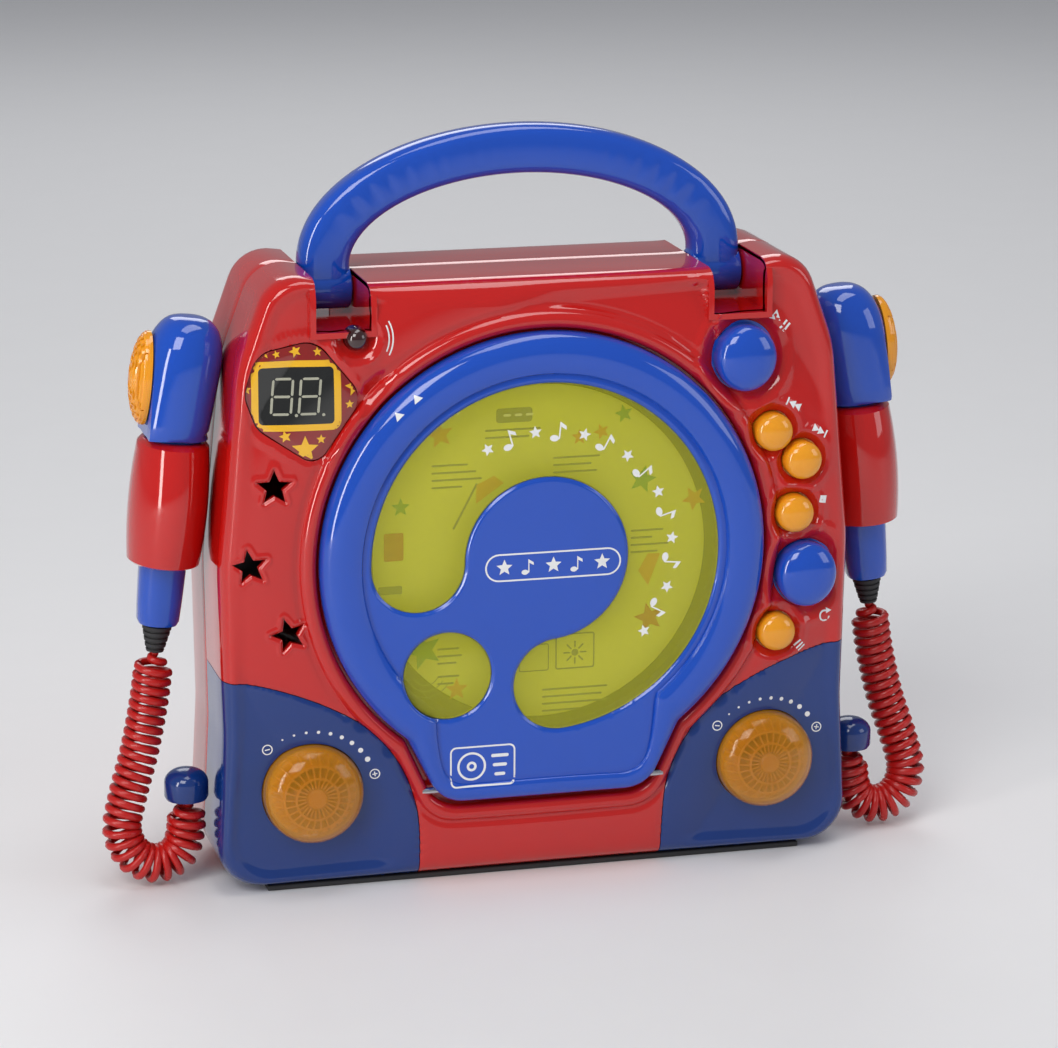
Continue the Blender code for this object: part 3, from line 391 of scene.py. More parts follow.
# a Principled material over the moulded surface group; other keywords set the shader's own sockets
def makePaint(name, colour, gloss=0.08, smudge=0.08, ripple=0.05, grain=0.0, shade=0.86, **sockets):
    mat = bpy.data.materials.new(name)
    mat.use_nodes = True
    tree = mat.node_tree
    shader = tree.nodes["Principled BSDF"]
    surface = tree.nodes.new("ShaderNodeGroup")
    surface.node_tree = surfaceGroup
    surface.inputs["Colour"].default_value = (*colour, 1)
    surface.inputs["Shade"].default_value = (*[c * shade for c in colour], 1)
    for label, value in (("Gloss", gloss), ("Smudge", smudge), ("Ripple", ripple), ("Grain", grain)):
        surface.inputs[label].default_value = value
    for made, taken in (("Colour", "Base Color"), ("Roughness", "Roughness"), ("Normal", "Normal")):
        tree.links.new(surface.outputs[made], shader.inputs[taken])
    for label, value in sockets.items():
        shader.inputs[label.replace("_", " ")].default_value = value
    return mat


# clear plastic: mostly see-through where it is faced, dense where its surface turns away
def rimAlpha(mat, through, rim, blend=0.35):
    tree = mat.node_tree
    weight = addNode(tree, "ShaderNodeLayerWeight", Blend=blend)
    span = addNode(tree, "ShaderNodeMapRange", **{"To Min": through, "To Max": rim})
    tree.links.new(weight.outputs["Facing"], span.inputs["Value"])
    tree.links.new(span.outputs["Result"], tree.nodes["Principled BSDF"].inputs["Alpha"])
    return mat


paint = {
    "red": makePaint("glossRed", (0.56, 0.008, 0.006), 0.055, 0.07, 0.06, Coat_Weight=0.5,
                     Coat_Roughness=0.03),
    "blue": makePaint("glossBlue", (0.006, 0.075, 0.52), 0.06, 0.07, 0.05, Coat_Weight=0.5,
                      Coat_Roughness=0.03),
    "navy": makePaint("deepBlue", (0.005, 0.035, 0.20), 0.10, 0.08, 0.05, Coat_Weight=0.3,
                      Coat_Roughness=0.06),
    "orange": makePaint("warmOrange", (0.90, 0.36, 0.012), 0.08, 0.06, 0.04, Subsurface_Weight=0.15,
                        Subsurface_Radius=(0.004, 0.002, 0.0005), Coat_Weight=0.4, Coat_Roughness=0.04),
    "lime": rimAlpha(makePaint("limeClear", (0.80, 0.80, 0.012), 0.04, 0.03, 0.02, IOR=1.49,
                               Coat_Weight=1.0,
                               Coat_Roughness=0.02), 0.20, 0.98),
    "lens": makePaint("redLens", (0.26, 0.008, 0.006), 0.04, 0.04, 0.02, Coat_Weight=1.0,
                      Coat_Roughness=0.02),
    "amber": rimAlpha(makePaint("amberClear", (0.90, 0.38, 0.010), 0.05, 0.04, 0.03, Coat_Weight=1.0,
                                Coat_Roughness=0.03), 0.20, 0.95),
    "amberCore": makePaint("amberInside", (0.62, 0.19, 0.004), 0.20, 0.1, 0.1),
    "card": makePaint("printedCard", (0.90, 0.87, 0.12), 0.45, 0.1, 0.0, 0.2, 0.96),
    "cardGrey": makePaint("printGrey", (0.16, 0.17, 0.10), 0.5, 0.1),
    "cardPale": makePaint("printPale", (0.92, 0.93, 0.62), 0.5, 0.1),
    "cardOrange": makePaint("printOrange", (0.95, 0.36, 0.03), 0.5, 0.1),
    "cardGreen": makePaint("printGreen", (0.08, 0.42, 0.06), 0.5, 0.1),
    "cardRed": makePaint("printRed", (0.62, 0.05, 0.03), 0.5, 0.1),
    "white": makePaint("printWhite", (0.86, 0.87, 0.88), 0.22, 0.1),
    "yellow": makePaint("printYellow", (0.90, 0.50, 0.02), 0.12, 0.06, Coat_Weight=0.6),
    "black": makePaint("displayBlack", (0.010, 0.011, 0.010), 0.06, 0.05, 0.02, Coat_Weight=0.8),
    "segment": makePaint("digitGrey", (0.42, 0.42, 0.33), 0.3, 0.05),
    "dark": makePaint("mouldedBlack", (0.022, 0.022, 0.024), 0.38, 0.12, 0.1, 0.35),
    "rubber": makePaint("softRubber", (0.028, 0.028, 0.030), 0.62, 0.15, 0.1, 0.6),
    "steel": makePaint("platedSteel", (0.62, 0.63, 0.65), 0.22, 0.12, 0.05, 0.1, Metallic=1.0),
    "foil": makePaint("brightNickel", (0.75, 0.73, 0.68), 0.16, 0.1, 0.05, 0.05, Metallic=1.0),
    "board": makePaint("boardGreen", (0.015, 0.14, 0.05), 0.3, 0.1, 0.05, 0.1),
    "cord": makePaint("cordRed", (0.52, 0.010, 0.008), 0.26, 0.1, 0.08, 0.1),
    "glass": makePaint("sensorGlass", (0.030, 0.004, 0.004), 0.05, 0.03, 0.02, Coat_Weight=1.0,
                       Coat_Roughness=0.02),
}
print("materials made:", len(paint))


# microphone cords: route of the coil's middle on the right-hand side, from the gland to the microphone
cordKit = {"wire": 0.0028, "coil": 0.0057, "pitch": 0.00345, "around": 10, "perTurn": 18,
           "route": ((0.1232, -0.0060, 0.0300), (0.1237, -0.0062, 0.0195), (0.1265, -0.0065, 0.0112),
                     (0.1340, -0.0065, 0.0078), (0.1420, -0.0060, 0.0110), (0.1460, -0.0045, 0.0200),
                     (0.1435, -0.0025, 0.0320), (0.1385, 0.0, 0.0480), (0.1345, 0.0015, 0.0660),
                     (0.13216, 0.0020, 0.08263))}


# Catmull-Rom curve through points
def smoothLine(points, steps):
    p = np.array(points)
    p = np.vstack([2 * p[0] - p[1], p, 2 * p[-1] - p[-2]])
    t = np.arange(steps)[:, None] / steps
    out = [0.5 * (2 * p[i] + (p[i + 1] - p[i - 1]) * t
                  + (2 * p[i - 1] - 5 * p[i] + 4 * p[i + 1] - p[i + 2]) * t ** 2
                  + (3 * p[i] - p[i - 1] - 3 * p[i + 1] + p[i + 2]) * t ** 3)
           for i in range(1, len(p) - 2)]
    return np.vstack(out + [p[-2][None]])


def aheadOf(line):
    ahead = np.gradient(line, axis=0)
    return ahead / np.linalg.norm(ahead, axis=1)[:, None]


# two steady directions across a line in space
def acrossOf(line, aside):
    ahead = aheadOf(line)
    across = np.cross(ahead, aside)
    across /= np.linalg.norm(across, axis=1)[:, None]
    return across, np.cross(ahead, across)


# the one direction across a line in the (x, z) plane
def asideOf(line):
    run = aheadOf(line)
    return np.stack([run[:, 1], -run[:, 0]], axis=1)


def lengthsOf(line):
    return np.concatenate([[0], np.cumsum(np.linalg.norm(np.diff(line, axis=0), axis=1))])


def coiledLine(kit, side):
    middle = smoothLine(kit["route"], 24)
    run = lengthsOf(middle)
    turns = round(run[-1] / kit["pitch"])
    s = np.linspace(0, run[-1], turns * kit["perTurn"] + 1)
    line = np.stack([np.interp(s, run, middle[:, i]) for i in range(3)], axis=1)
    across, up = acrossOf(line, (0, 1, 0))
    opening = 0.006                     # length over which the coil opens at either end
    open_ = step(0.0, opening, s) * step(0.0, opening, run[-1] - s)
    turn = whole * s / run[-1] * turns
    line = line + kit["coil"] * open_[:, None] * (np.cos(turn)[:, None] * across
                                                  + np.sin(turn)[:, None] * up)
    return line * (side, 1, 1)


def makeCords(kit):
    for side, hand in sides:
        line = coiledLine(kit, side)
        across, up = acrossOf(line, (0.3, 1.0, 0.2))

        def place(row, angle):
            ring = (np.cos(angle)[:, None] * across[row]
                    + np.sin(angle)[:, None] * up[row]) * kit["wire"] / 2
            return (line[row] + ring).T

        piece = settle(rawObject(f"curlyCord_{hand}",
                                 wrapGrid(place, len(line) - 1, kit["around"], capped=True)),
                       paint["cord"], None, f"mic_cord_{hand}", 60)
        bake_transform(piece)


makeCords(cordKit)
print("cords coiled")


# the case: outlines seen from the front, measured from the middle of the lid
caseKit = {"face": -0.0300, "split": 0.0040, "back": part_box("rear_shell")[1].y, "wall": 0.0022,
           "fillet": 0.0090,
           "backFillet": 0.0110, "lip": 0.0060, "lipRise": 0.0017, "ledge": -0.0260, "ledgeWidth": 0.0050,
           "crown": 0.0034, "around": 480, "up": 0.1150}
lidKit = {"radius": 0.0800, "gap": 0.0008, "chin": (0.0375, 0.0865, 0.0130), "chinGap": 0.0025,
          "front": -0.0368,
          "field": -0.0345, "rim": -0.0290, "wall": 0.0022, "ring": 0.0145, "windowIn": 0.0292,
          "windowOut": 0.0625,
          "windowFrom": -84.0, "windowTo": 180.0, "port": (-0.0355, -0.0400, 0.0158)}
buttonKit = {"bigRadius": 0.0109, "smallRadius": 0.0068, "gap": 0.0004, "oval": 1.08, "bigTop": -0.0366,
             "smallTop": -0.0348, "groups": (
                 (("play_button", True),), (("skip_back_button", False), ("skip_forward_button", False)),
                 (("stop_button", False),), (("repeat_button", True),), (("program_button", False),))}
knobKit = {"radius": 0.0175, "wall": 0.0014, "top": -0.0400, "foot": -0.0305, "back": -0.0250, "ribs": 26}
starPlaces = ((-0.0950, 0.0296, 0), (-0.1038, 0.0020, 8), (-0.0906, -0.0228, 16))
starSize = 0.0062
coverGap = 0.00015                  # between a corner cover's edge and the middle of its groove
cutFrom, cutTo = -0.05, -0.02       # cutters for the front start ahead of it and end behind its wall


def centreOf(node):
    low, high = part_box(node)
    return (low.x + high.x) / 2, (low.z + high.z) / 2 - lidZ


def bodyOutline():
    half = [(0.116, -caseKit["up"], 0.015), (0.113, -0.060, 0.080), (0.114, 0.0, 0.090),
            (0.107, 0.070, 0.050),
            (0.095, 0.103, 0.014), (0.060, 0.098, 0.030)]
    return rounded(half + [(-x, z, radius) for x, z, radius in reversed(half)])


def lidOutline(grow=0.0, below=0.0):
    chinX, chinDown, corner = lidKit["chin"]
    arc = [(x, z, 0.0) for x, z in arcPoints([math.radians(a) for a in range(-52, 233, 2)],
                                             lidKit["radius"] + grow)]
    shift = grow * 1.2
    return rounded(arc + [(-chinX - shift, -chinDown - below, corner),
                          (chinX + shift, -chinDown - below, corner)])


bodyReach = reachOf(bodyOutline())
holeReach = reachOf(lidOutline(lidKit["gap"], lidKit["chinGap"]))
lidReach = reachOf(lidOutline())


def lensOutline(grow=0.0):
    corners = [(-0.1005, 0.0760, 0.009), (-0.1050, 0.0620, 0.010), (-0.1005, 0.0500, 0.009),
               (-0.0805, 0.0365, 0.006), (-0.0640, 0.0600, 0.008), (-0.0800, 0.0800, 0.009)]
    middle = (sum(c[0] for c in corners) / 6, sum(c[1] for c in corners) / 6)
    grown = []
    for x, z, radius in corners:
        out = Vector((x - middle[0], z - middle[1])).normalized() * grow * 1.2
        grown.append((x + out.x, z + out.y, radius))
    return rounded(grown, math.radians(8))


# region of a corner cover: an S-shaped edge, then well past the corner of the case
def coverOutline(side, grow=0.0):
    knots = [(0.130, -0.0380), (0.106, -0.0400), (0.0905, -0.0440), (0.0755, -0.0505), (0.0625, -0.0590),
             (0.0525, -0.0710), (0.0465, -0.0850), (0.0445, -0.1000), (0.0445, -0.130)]
    line = smoothLine(knots, 6)
    line = line + grow * asideOf(line)
    return [(side * x, z) for x, z in line] + [(side * 0.130, -0.130)]


# for each shared dish: the places, hole radii and ovals of its buttons
def buttonGroups():
    groups = []
    for members in buttonKit["groups"]:
        found = []
        for name, big in members:
            radius = (buttonKit["bigRadius"] if big else buttonKit["smallRadius"]) + buttonKit["gap"]
            found.append((*centreOf(name), radius, buttonKit["oval"] if big else 1.0, big))
        groups.append(found)
    return groups


dishes = buttonGroups()
sensorAt = centreOf("remote_sensor")
knobPlaces = {hand: (side * 0.0825, -0.0805) for side, hand in sides}
lensEdge = lensOutline(0.0002)
coverEdge = coverOutline(1)


def fromButton(x, z, button):
    bx, bz, radius, oval, _ = button
    return np.hypot(x - bx, (z - bz) / oval) - radius


# how far the red face stands in front of its plain level at a place on the front
def faceRise(x, z):
    x, z = np.asarray(x, float), np.asarray(z, float)
    angle, radius = np.arctan2(z, x), np.hypot(x, z)
    edge = radius - holeReach(angle)
    rise = -caseKit["crown"] * np.clip((edge - 0.009) / 0.024, 0, 1) ** 2
    inLip = np.clip(edge / caseKit["lip"], 0, 1)
    rise = rise + caseKit["lipRise"] * np.sin(math.pi * inLip) ** 0.8
    rise = rise - 0.0007 * hump(edge, 0.0068, 0.0014) - 0.0006 * (1 - step(0, 0.0007, edge))
    shelf = (step(-0.018, 0.012, x) * (1 - step(0.0590, 0.0615, x + 0.25 * (z - 0.085)))
             * step(0.0062, 0.0085, edge))
    rise = rise - shelf * step(0.045, 0.060, z) * (0.0010 + 0.11 * np.clip(z - 0.072, 0, 0.03))
    spin = (x * -0.70 + z * 0.71, x * 0.71 + z * 0.70)
    rise = rise - 0.0024 * np.exp(-(spin[1] / 0.0085) ** 4 - ((spin[0] - 0.0860) / 0.0042) ** 2)
    for group in dishes:
        away = np.min([fromButton(x, z, button) for button in group], axis=0)
        big = group[0][4]
        wide, deep = (0.0046, 0.0022) if big else (0.0027, 0.0014)
        rise = rise - deep * (1 - step(0.0002, wide, away))
        rise = rise + (0.0008 if big else 0.0006) * hump(away, wide + 0.0012, 0.0013)
        rise = rise - 0.0006 * (1 - step(0, 0.0006, away))
    away = np.hypot(x - sensorAt[0], z - sensorAt[1])
    rise = rise - 0.0022 * (1 - step(0.0040, 0.0078, away)) + 0.0007 * hump(away, 0.0092, 0.0011)
    away = outside(lensEdge, x, z)
    rise = rise - 0.0004 * (1 - step(0, 0.0005, np.abs(away))) + 0.0006 * hump(away, 0.0021, 0.0009)
    for px, pz, tilt in starPlaces:
        near = np.hypot(x - px, z - pz) < 0.012
        away = np.where(near, outside(starOutline(px, pz, starSize, tilt), x, z), 1.0)
        rise = rise - 0.0006 * (1 - step(0, 0.0008, away)) + 0.0003 * hump(away, 0.0014, 0.0007)
    away = np.where(z < -0.02, np.abs(outside(coverEdge, np.abs(x), z)), 1.0)
    rise = rise - 0.0007 * (1 - step(0, 0.0011, away))
    return rise


def levelOn(*names):
    trees = [BVHTree.FromPolygons([v.co for v in mesh.vertices], [p.vertices for p in mesh.polygons])
             for mesh in (bpy.data.objects[name].data for name in names)]

    def level(x, z):
        hits = [tree.ray_cast((x, -0.2, lidZ + z), (0, 1, 0))[0] for tree in trees]
        return min([hit.y for hit in hits if hit], default=0.0)

    return level


# section rows (mix, offset, y): distance = hole + (edge - hole) * mix + offset
def shellRows():
    k = caseKit
    f, wall, face = k["fillet"], k["wall"], k["face"]
    rows = [(1, 0, k["split"]), (1, 0, -0.0040), (1, 0, -0.0125)]
    for a in np.radians(np.linspace(0, 81, 10)):
        rows.append((1, -f + f * math.cos(a), face + f - f * math.sin(a)))
    for s in np.linspace(1, 0, 27):
        rows.append((s, k["lip"] * (1 - s) - f * s, face))
    rows += [(0, k["lip"] * t, face) for t in (0.9, 0.78, 0.66, 0.54, 0.42, 0.3, 0.2, 0.12, 0.05)]
    rows += [(0, 0, face), (0, 0, face + 0.0014), (0, 0, k["ledge"]), (0, -k["ledgeWidth"] / 2, k["ledge"]),
             (0, -k["ledgeWidth"], k["ledge"]), (0, -k["ledgeWidth"], k["ledge"] + wall),
             (0, wall, k["ledge"] + wall)]
    for s in np.linspace(0, 1, 12):
        rows.append((s, k["lip"] * (1 - s) - f * s, face + wall))
    for a in np.radians(np.linspace(70, 0, 5)):
        rows.append((1, -f + (f - wall) * math.cos(a), face + f - (f - wall) * math.sin(a)))
    return rows + [(1, -wall, k["split"])]


def makeShellMesh():
    rows = np.array(shellRows())
    count = len(rows)

    def place(row, angle):
        mix, offset, y = rows[row % count].T
        hole = holeReach(angle)
        radius = hole + (bodyReach(angle) - hole) * mix + offset
        return radius * np.cos(angle), y, lidZ + radius * np.sin(angle)

    bm = wrapGrid(place, count, caseKit["around"])
    close = []
    for edge in bm.edges:         # finer faces where the small shapes are
        middle = (edge.verts[0].co + edge.verts[1].co) / 2
        x, z = middle.x, middle.z - lidZ
        if middle.y > caseKit["face"] + 0.0012:
            continue
        near = any(fromButton(x, z, b) < 0.0042 and fromButton(x, z, b) > -0.0022
                   for g in dishes for b in g)
        near = near or any(0.002 < math.hypot(x - px, z - pz) < 0.0085 for px, pz, _ in starPlaces)
        near = near or math.hypot(x - sensorAt[0], z - sensorAt[1]) < 0.0095
        if near:
            close.append(edge)
    bmesh.ops.subdivide_edges(bm, edges=close, cuts=2, use_grid_fill=True)
    co = coordsOf(bm)
    x, z = co[:, 0], co[:, 2] - lidZ
    radius, angle = np.hypot(x, z), np.arctan2(z, x)
    outer = bodyReach(angle)
    weight = (1 - step(outer - caseKit["fillet"], outer - 0.0019, radius)) * (co[:, 1] < -0.0265)
    co[:, 1] -= weight * faceRise(x, z)
    moveTo(bm, co)
    return bm


def slotBox(side, grow=0.0):
    low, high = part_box(f"handle_pivot_{'left' if side < 0 else 'right'}")
    middle, half = side * 0.0705, 0.0096 + grow
    floor = (low.z + high.z) / 2 - 0.0094 - grow
    return boxed((middle - half, -0.06, floor), (middle + half, 0.06, lidZ + 0.13))


# solid form of the whole case, pulled in by inset
def caseBlock(inset):
    k = caseKit
    f, g = k["fillet"], k["backFillet"]
    rows = [(0, k["face"] + inset)] + [(1, k["face"] + f - (f - inset) * math.sin(a),
                                        -f + (f - inset) * math.cos(a))
                                       for a in np.radians((90, 60, 30, 0))]
    rows += [(1, k["back"] - g + (g - inset) * math.sin(a), -g + (g - inset) * math.cos(a))
             for a in np.radians((0, 30, 60, 90))]
    rows.append((0, k["back"] - inset))
    mix = np.array([r[0] for r in rows])
    y = np.array([r[1] for r in rows])
    offset = np.array([r[2] if len(r) > 2 else 0.0 for r in rows])

    def place(row, angle):
        radius = bodyReach(angle) * mix[row] + offset[row]
        return radius * np.cos(angle), y[row], lidZ + radius * np.sin(angle)

    return wrapGrid(place, len(rows) - 1, 120)


def makeFrontShell():
    holes = []
    for group in dishes:
        for x, z, radius, oval, _ in group:
            holes.append(punch(radius, cutFrom, cutTo, 72, "Y", spot(x, z), oval))
    holes += [plate(starOutline(x, z, starSize, tilt), cutFrom, -0.022) for x, z, tilt in starPlaces]
    holes.append(plate(lensEdge, cutFrom, -0.024))
    holes.append(punch(0.0043, cutFrom, cutTo, 40, "Y", spot(*sensorAt)))
    base = makeShellMesh()
    covers = base.copy()
    shell = rawObject("frontShell", base)
    cutters = joinInto(bmesh.new(), *holes)
    cutBy(shell, cutters, slotBox(-1), slotBox(1))
    cutBy(shell, joinInto(*[plate(coverOutline(side, coverGap), -0.06, 0.02) for side in (1, -1)]))
    settle(shell, paint["red"], "case", "front_shell")
    for side, hand in sides:
        cover = rawObject(f"cornerCover_{hand}", covers.copy())
        x, z = knobPlaces[hand]
        cutBy(cover, plate(coverOutline(side, -coverGap), -0.06, 0.02), how="INTERSECT")
        cutBy(cover, punch(knobKit["radius"] + 0.0004, cutFrom, cutTo, 96, "Y", spot(x, z)))
        settle(cover, paint["navy"], "case", f"corner_cover_{hand}")
    covers.free()
    print("front shell and corner covers moulded")


makeFrontShell()


# walls of the slots that the handle's legs stand in
def makeHandleWells():
    wells = joinInto(slotBox(-1, 0.0020), slotBox(1, 0.0020))
    piece = cutBy(rawObject("handleWells", wells), caseBlock(0.0006), how="INTERSECT")
    cutBy(piece, joinInto(slotBox(-1), slotBox(1)))
    settle(piece, paint["red"], "case", ())


def makeRearShell():
    k = caseKit
    g, wall, split = k["backFillet"], k["wall"], k["split"] + 0.0003
    rows = [(s, -g * s, k["back"]) for s in np.linspace(0, 1, 14)]
    rows += [(1, -g + g * math.sin(a), k["back"] - g + g * math.cos(a))
             for a in np.radians(np.linspace(9, 90, 10))]
    rows += [(1, 0, 0.018), (1, 0, 0.010), (1, -0.0001, split + 0.0012), (1, -0.0005, split),
             (1, -wall, split)]
    rows += [(1, -g + (g - wall) * math.sin(a), k["back"] - g + (g - wall) * math.cos(a))
             for a in np.radians((90, 60, 30))]
    rows += [(s, -g * s, k["back"] - wall) for s in (1, 0.66, 0.33, 0)]
    rows = np.array(rows)

    def place(row, angle):
        mix, offset, y = rows[row].T
        radius = bodyReach(angle) * mix + offset
        return radius * np.cos(angle), y, lidZ + radius * np.sin(angle)

    shell = rawObject("rearShell", wrapGrid(place, len(rows) - 1, 360))
    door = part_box("battery_door")
    tools = [boxed((door[0].x - 0.0004, door[0].y - 0.01, door[0].z - 0.0004),
                   (door[1].x + 0.0004, 0.06, door[1].z + 0.0004))]
    vents = [panelOutline(-0.030 + 0.012 * k, -0.0252 + 0.012 * k, 0.038, 0.062, 0.0023) for k in range(6)]
    tools += [plate(outline, 0.030, 0.05) for outline in vents]
    for n in range(1, 5):
        x, z = centreOf(f"case_screw_{n}")
        tools.append(spun([(0, 0.034), (0.0031, 0.034), (0.0031, 0.0392), (0.0040, 0.0405), (0, 0.0405)],
                          40, "Y",
                          spot(x, z)))
    for name, radius in (("headphone_socket", 0.0050), ("adaptor_socket", 0.0064)):
        low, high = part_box(name)
        tools.append(punch(radius, 0.09, 0.13, 40, "X", (0, (low.y + high.y) / 2, (low.z + high.z) / 2)))
    cutBy(shell, joinInto(bmesh.new(), *tools), slotBox(-1), slotBox(1))
    settle(shell, paint["red"], "case", "rear_shell")


makeRearShell()
makeHandleWells()
print("rear shell and handle wells moulded")


# the lid
def ringWidth(angle):
    chin = step(0.78, 0.92, -np.sin(angle))
    return lidKit["ring"] * (1 - chin) + 0.0068 * chin


def windowSpan():
    return (lidKit["windowOut"] + lidKit["windowIn"]) / 2, (lidKit["windowOut"] - lidKit["windowIn"]) / 2


# signed distance to the long window, a thick arc with round ends
def windowAway(x, z):
    middle, half = windowSpan()
    angle, radius = np.degrees(np.arctan2(z, x)), np.hypot(x, z)
    ends = [np.hypot(x - middle * math.cos(math.radians(a)), z - middle * math.sin(math.radians(a)))
            for a in (lidKit["windowFrom"], lidKit["windowTo"])]
    within = angle >= lidKit["windowFrom"]
    return np.where(within, np.abs(radius - middle), np.minimum(*ends)) - half


def portAway(x, z):
    px, pz, radius = lidKit["port"]
    return np.hypot(x - px, z - pz) - radius


# how far the lid stands in front of its field
def lidRise(x, z):
    angle, radius = np.arctan2(z, x), np.hypot(x, z)
    edge = lidReach(angle) - radius
    wide = ringWidth(angle)
    chin = step(0.78, 0.92, -np.sin(angle))
    high = (lidKit["field"] - lidKit["front"]) * (1 - 0.55 * chin)
    t = np.clip(edge / wide, 0, 1)
    arch = np.sqrt(np.clip(1 - (2 * t - 1) ** 2, 0, 1))
    fall = 0.0034 * (1 - 0.4 * chin)
    rise = np.where(t < 0.5, (high + fall) * arch - fall, high * arch ** 0.85)
    rise = np.where(edge >= wide, 0.0, rise)
    rise = rise - 0.0005 * hump(edge, wide + 0.0004, 0.0006)
    rise = rise + 0.0008 * np.cos(math.pi / 2 * np.clip(radius / 0.062, 0, 1))
    near = np.minimum(windowAway(x, z), portAway(x, z))
    return rise - 0.0009 * (1 - step(-0.0002, 0.0012, near))


def lidAt(x, z):
    return lidKit["field"] - float(lidRise(np.array([x]), np.array([z]))[0])


def windowOutline(grow=0.0):
    middle, half = windowSpan()
    half += grow
    first, last = math.radians(lidKit["windowFrom"]), math.radians(lidKit["windowTo"])
    turns = np.linspace(first, last, 110)
    ends = np.linspace(0, math.pi, 30)[1:-1]
    points = arcPoints(turns, middle + half)
    points += arcPoints(last + ends, half, middle * math.cos(last), middle * math.sin(last))
    points += arcPoints(turns[::-1], middle - half)
    return points + arcPoints(first + math.pi + ends, half, middle * math.cos(first),
                              middle * math.sin(first))


def makeLid():
    k = lidKit
    field, wall, rim = k["field"], k["wall"], k["rim"]
    rows = [(s, 0, -s, field) for s in np.linspace(0, 1, 52)]
    rows += [(1, 0, -(1 - t), field) for t in np.linspace(0, 1, 20)[1:-1]]
    rows += [(1, -0.0002, 0, field), (1, 0, 0, -0.0309), (1, 0, 0, rim), (1, -wall, 0, rim),
             (1, -wall, 0, field + wall + 0.001), (1, -wall - 0.0015, 0, field + wall)]
    rows += [(s, -0.0037 * s, 0, field + wall) for s in (0.9, 0.75, 0.6, 0.45, 0.3, 0.15, 0.0)]
    rows = np.array(rows)

    def place(row, angle):
        mix, offset, ring, y = rows[row].T
        radius = lidReach(angle) * mix + offset + ring * ringWidth(angle)
        return radius * np.cos(angle), y, lidZ + radius * np.sin(angle)

    bm = wrapGrid(place, len(rows) - 1, 420)
    middles = np.array([(e.verts[0].co + e.verts[1].co) / 2 for e in bm.edges])
    x, z = middles[:, 0], middles[:, 2] - lidZ
    near = ((np.abs(np.minimum(windowAway(x, z), portAway(x, z)) - 0.0005) < 0.0014)
            & (middles[:, 1] < field + 0.0008))
    bmesh.ops.subdivide_edges(bm, edges=[e for e, n in zip(bm.edges[:], near) if n], cuts=2,
                              use_grid_fill=True)
    co = coordsOf(bm)
    x, z = co[:, 0], co[:, 2] - lidZ
    front = co[:, 1] < field + 0.0006
    inner = ~front & (np.abs(co[:, 1] - field - wall) < 0.0006)
    rise = lidRise(x, z)
    co[:, 1] -= np.where(front, rise, np.where(inner, np.clip(rise, 0, 1), 0))
    moveTo(bm, co)
    lid = rawObject("lidFrame", bm)
    tools = joinInto(plate(windowOutline(), cutFrom, -0.025),
                     plate(circleOutline(*k["port"], 90), cutFrom, -0.025))
    cutBy(lid, tools, tangled=True)
    hinge = joints["lid_hinge"]["pos_m"]
    knuckle = spun([(0.0015, -0.0240), (0.0040, -0.0240), (0.0042, -0.0238), (0.0042, 0.0238),
                    (0.0040, 0.0240), (0.0015, 0.0240), (0.0015, -0.0240)], 40, "X", hinge)
    cutBy(lid, knuckle, how="UNION")
    cutBy(lid, punch(0.0015, -0.06, 0.06, 24, "X", hinge))
    settle(lid, paint["blue"], "lid", "lid")
    low = field + 0.0004
    pane = plate(windowOutline(-0.00008), low, low + 0.0018, 0.0006, 4)
    settle(rawObject("longWindow", pane), paint["lime"], "lid", "lid_window")
    x, z, radius = k["port"]
    port = spun([(0, low + 0.0018), (radius - 0.0002, low + 0.0018), (radius - 0.0001, low + 0.0006),
                 (radius - 0.0003, low + 0.0002), (radius - 0.0007, low), (0, low - 0.0002)], 90, "Y",
                spot(x, z))
    settle(rawObject("roundWindow", port), paint["lime"], "lid", "lid_round_window")


makeLid()
print("lid and windows moulded")


# printed marks: thin flat shapes just above a surface, whose depth level(x, z) gives
def markOf(outline, level, thick=0.00006, holes=()):
    bm = bmesh.new()
    loops = []
    for ring in (outline, *holes):
        verts = [bm.verts.new((x, 0.0, z)) for x, z in ring]
        loops += [bm.edges.new((a, b)) for a, b in zip(verts, verts[1:] + verts[:1])]
    bmesh.ops.triangle_fill(bm, edges=loops, use_beauty=True, use_dissolve=False)
    for _ in range(6):
        wide = [e for e in bm.edges if e.calc_length() > 0.0013]
        if not wide:
            break
        bmesh.ops.subdivide_edges(bm, edges=wide, cuts=1)
        bmesh.ops.triangulate(bm, faces=bm.faces)
    for face in bm.faces:
        if face.normal.y > 0:
            face.normal_flip()
    for vert in bm.verts:
        vert.co = (vert.co.x, level(vert.co.x, vert.co.z) - thick, lidZ + vert.co.z)
    return bm


def arcBand(x, z, inner, outer, first, last, count=24):
    turns = np.radians(np.linspace(first, last, count))
    return arcPoints(turns, outer, x, z) + arcPoints(turns[::-1], inner, x, z)


def pillOutline(x, z, half, radius, count=14):
    right = np.linspace(-math.pi / 2, math.pi / 2, count)
    left = np.linspace(math.pi / 2, 3 * math.pi / 2, count)
    return arcPoints(right, radius, x + half, z) + arcPoints(left, radius, x - half, z)


def turnedBy(points, x, z, degrees):
    c, s = math.cos(math.radians(degrees)), math.sin(math.radians(degrees))
    return [(x + px * c - pz * s, z + px * s + pz * c) for px, pz in points]


# a quaver as one outline about its own middle
def noteOutline(size):
    head = [(-0.30 + 0.26 * math.cos(a), -0.42 + 0.19 * math.sin(a))
            for a in np.radians(np.linspace(20, 340, 16))]
    stem = [(-0.05, 0.55), (0.34, 0.30), (0.36, 0.08), (0.03, 0.26), (0.03, -0.44)]
    return [(size * x, size * z) for x, z in head + stem[::-1]]


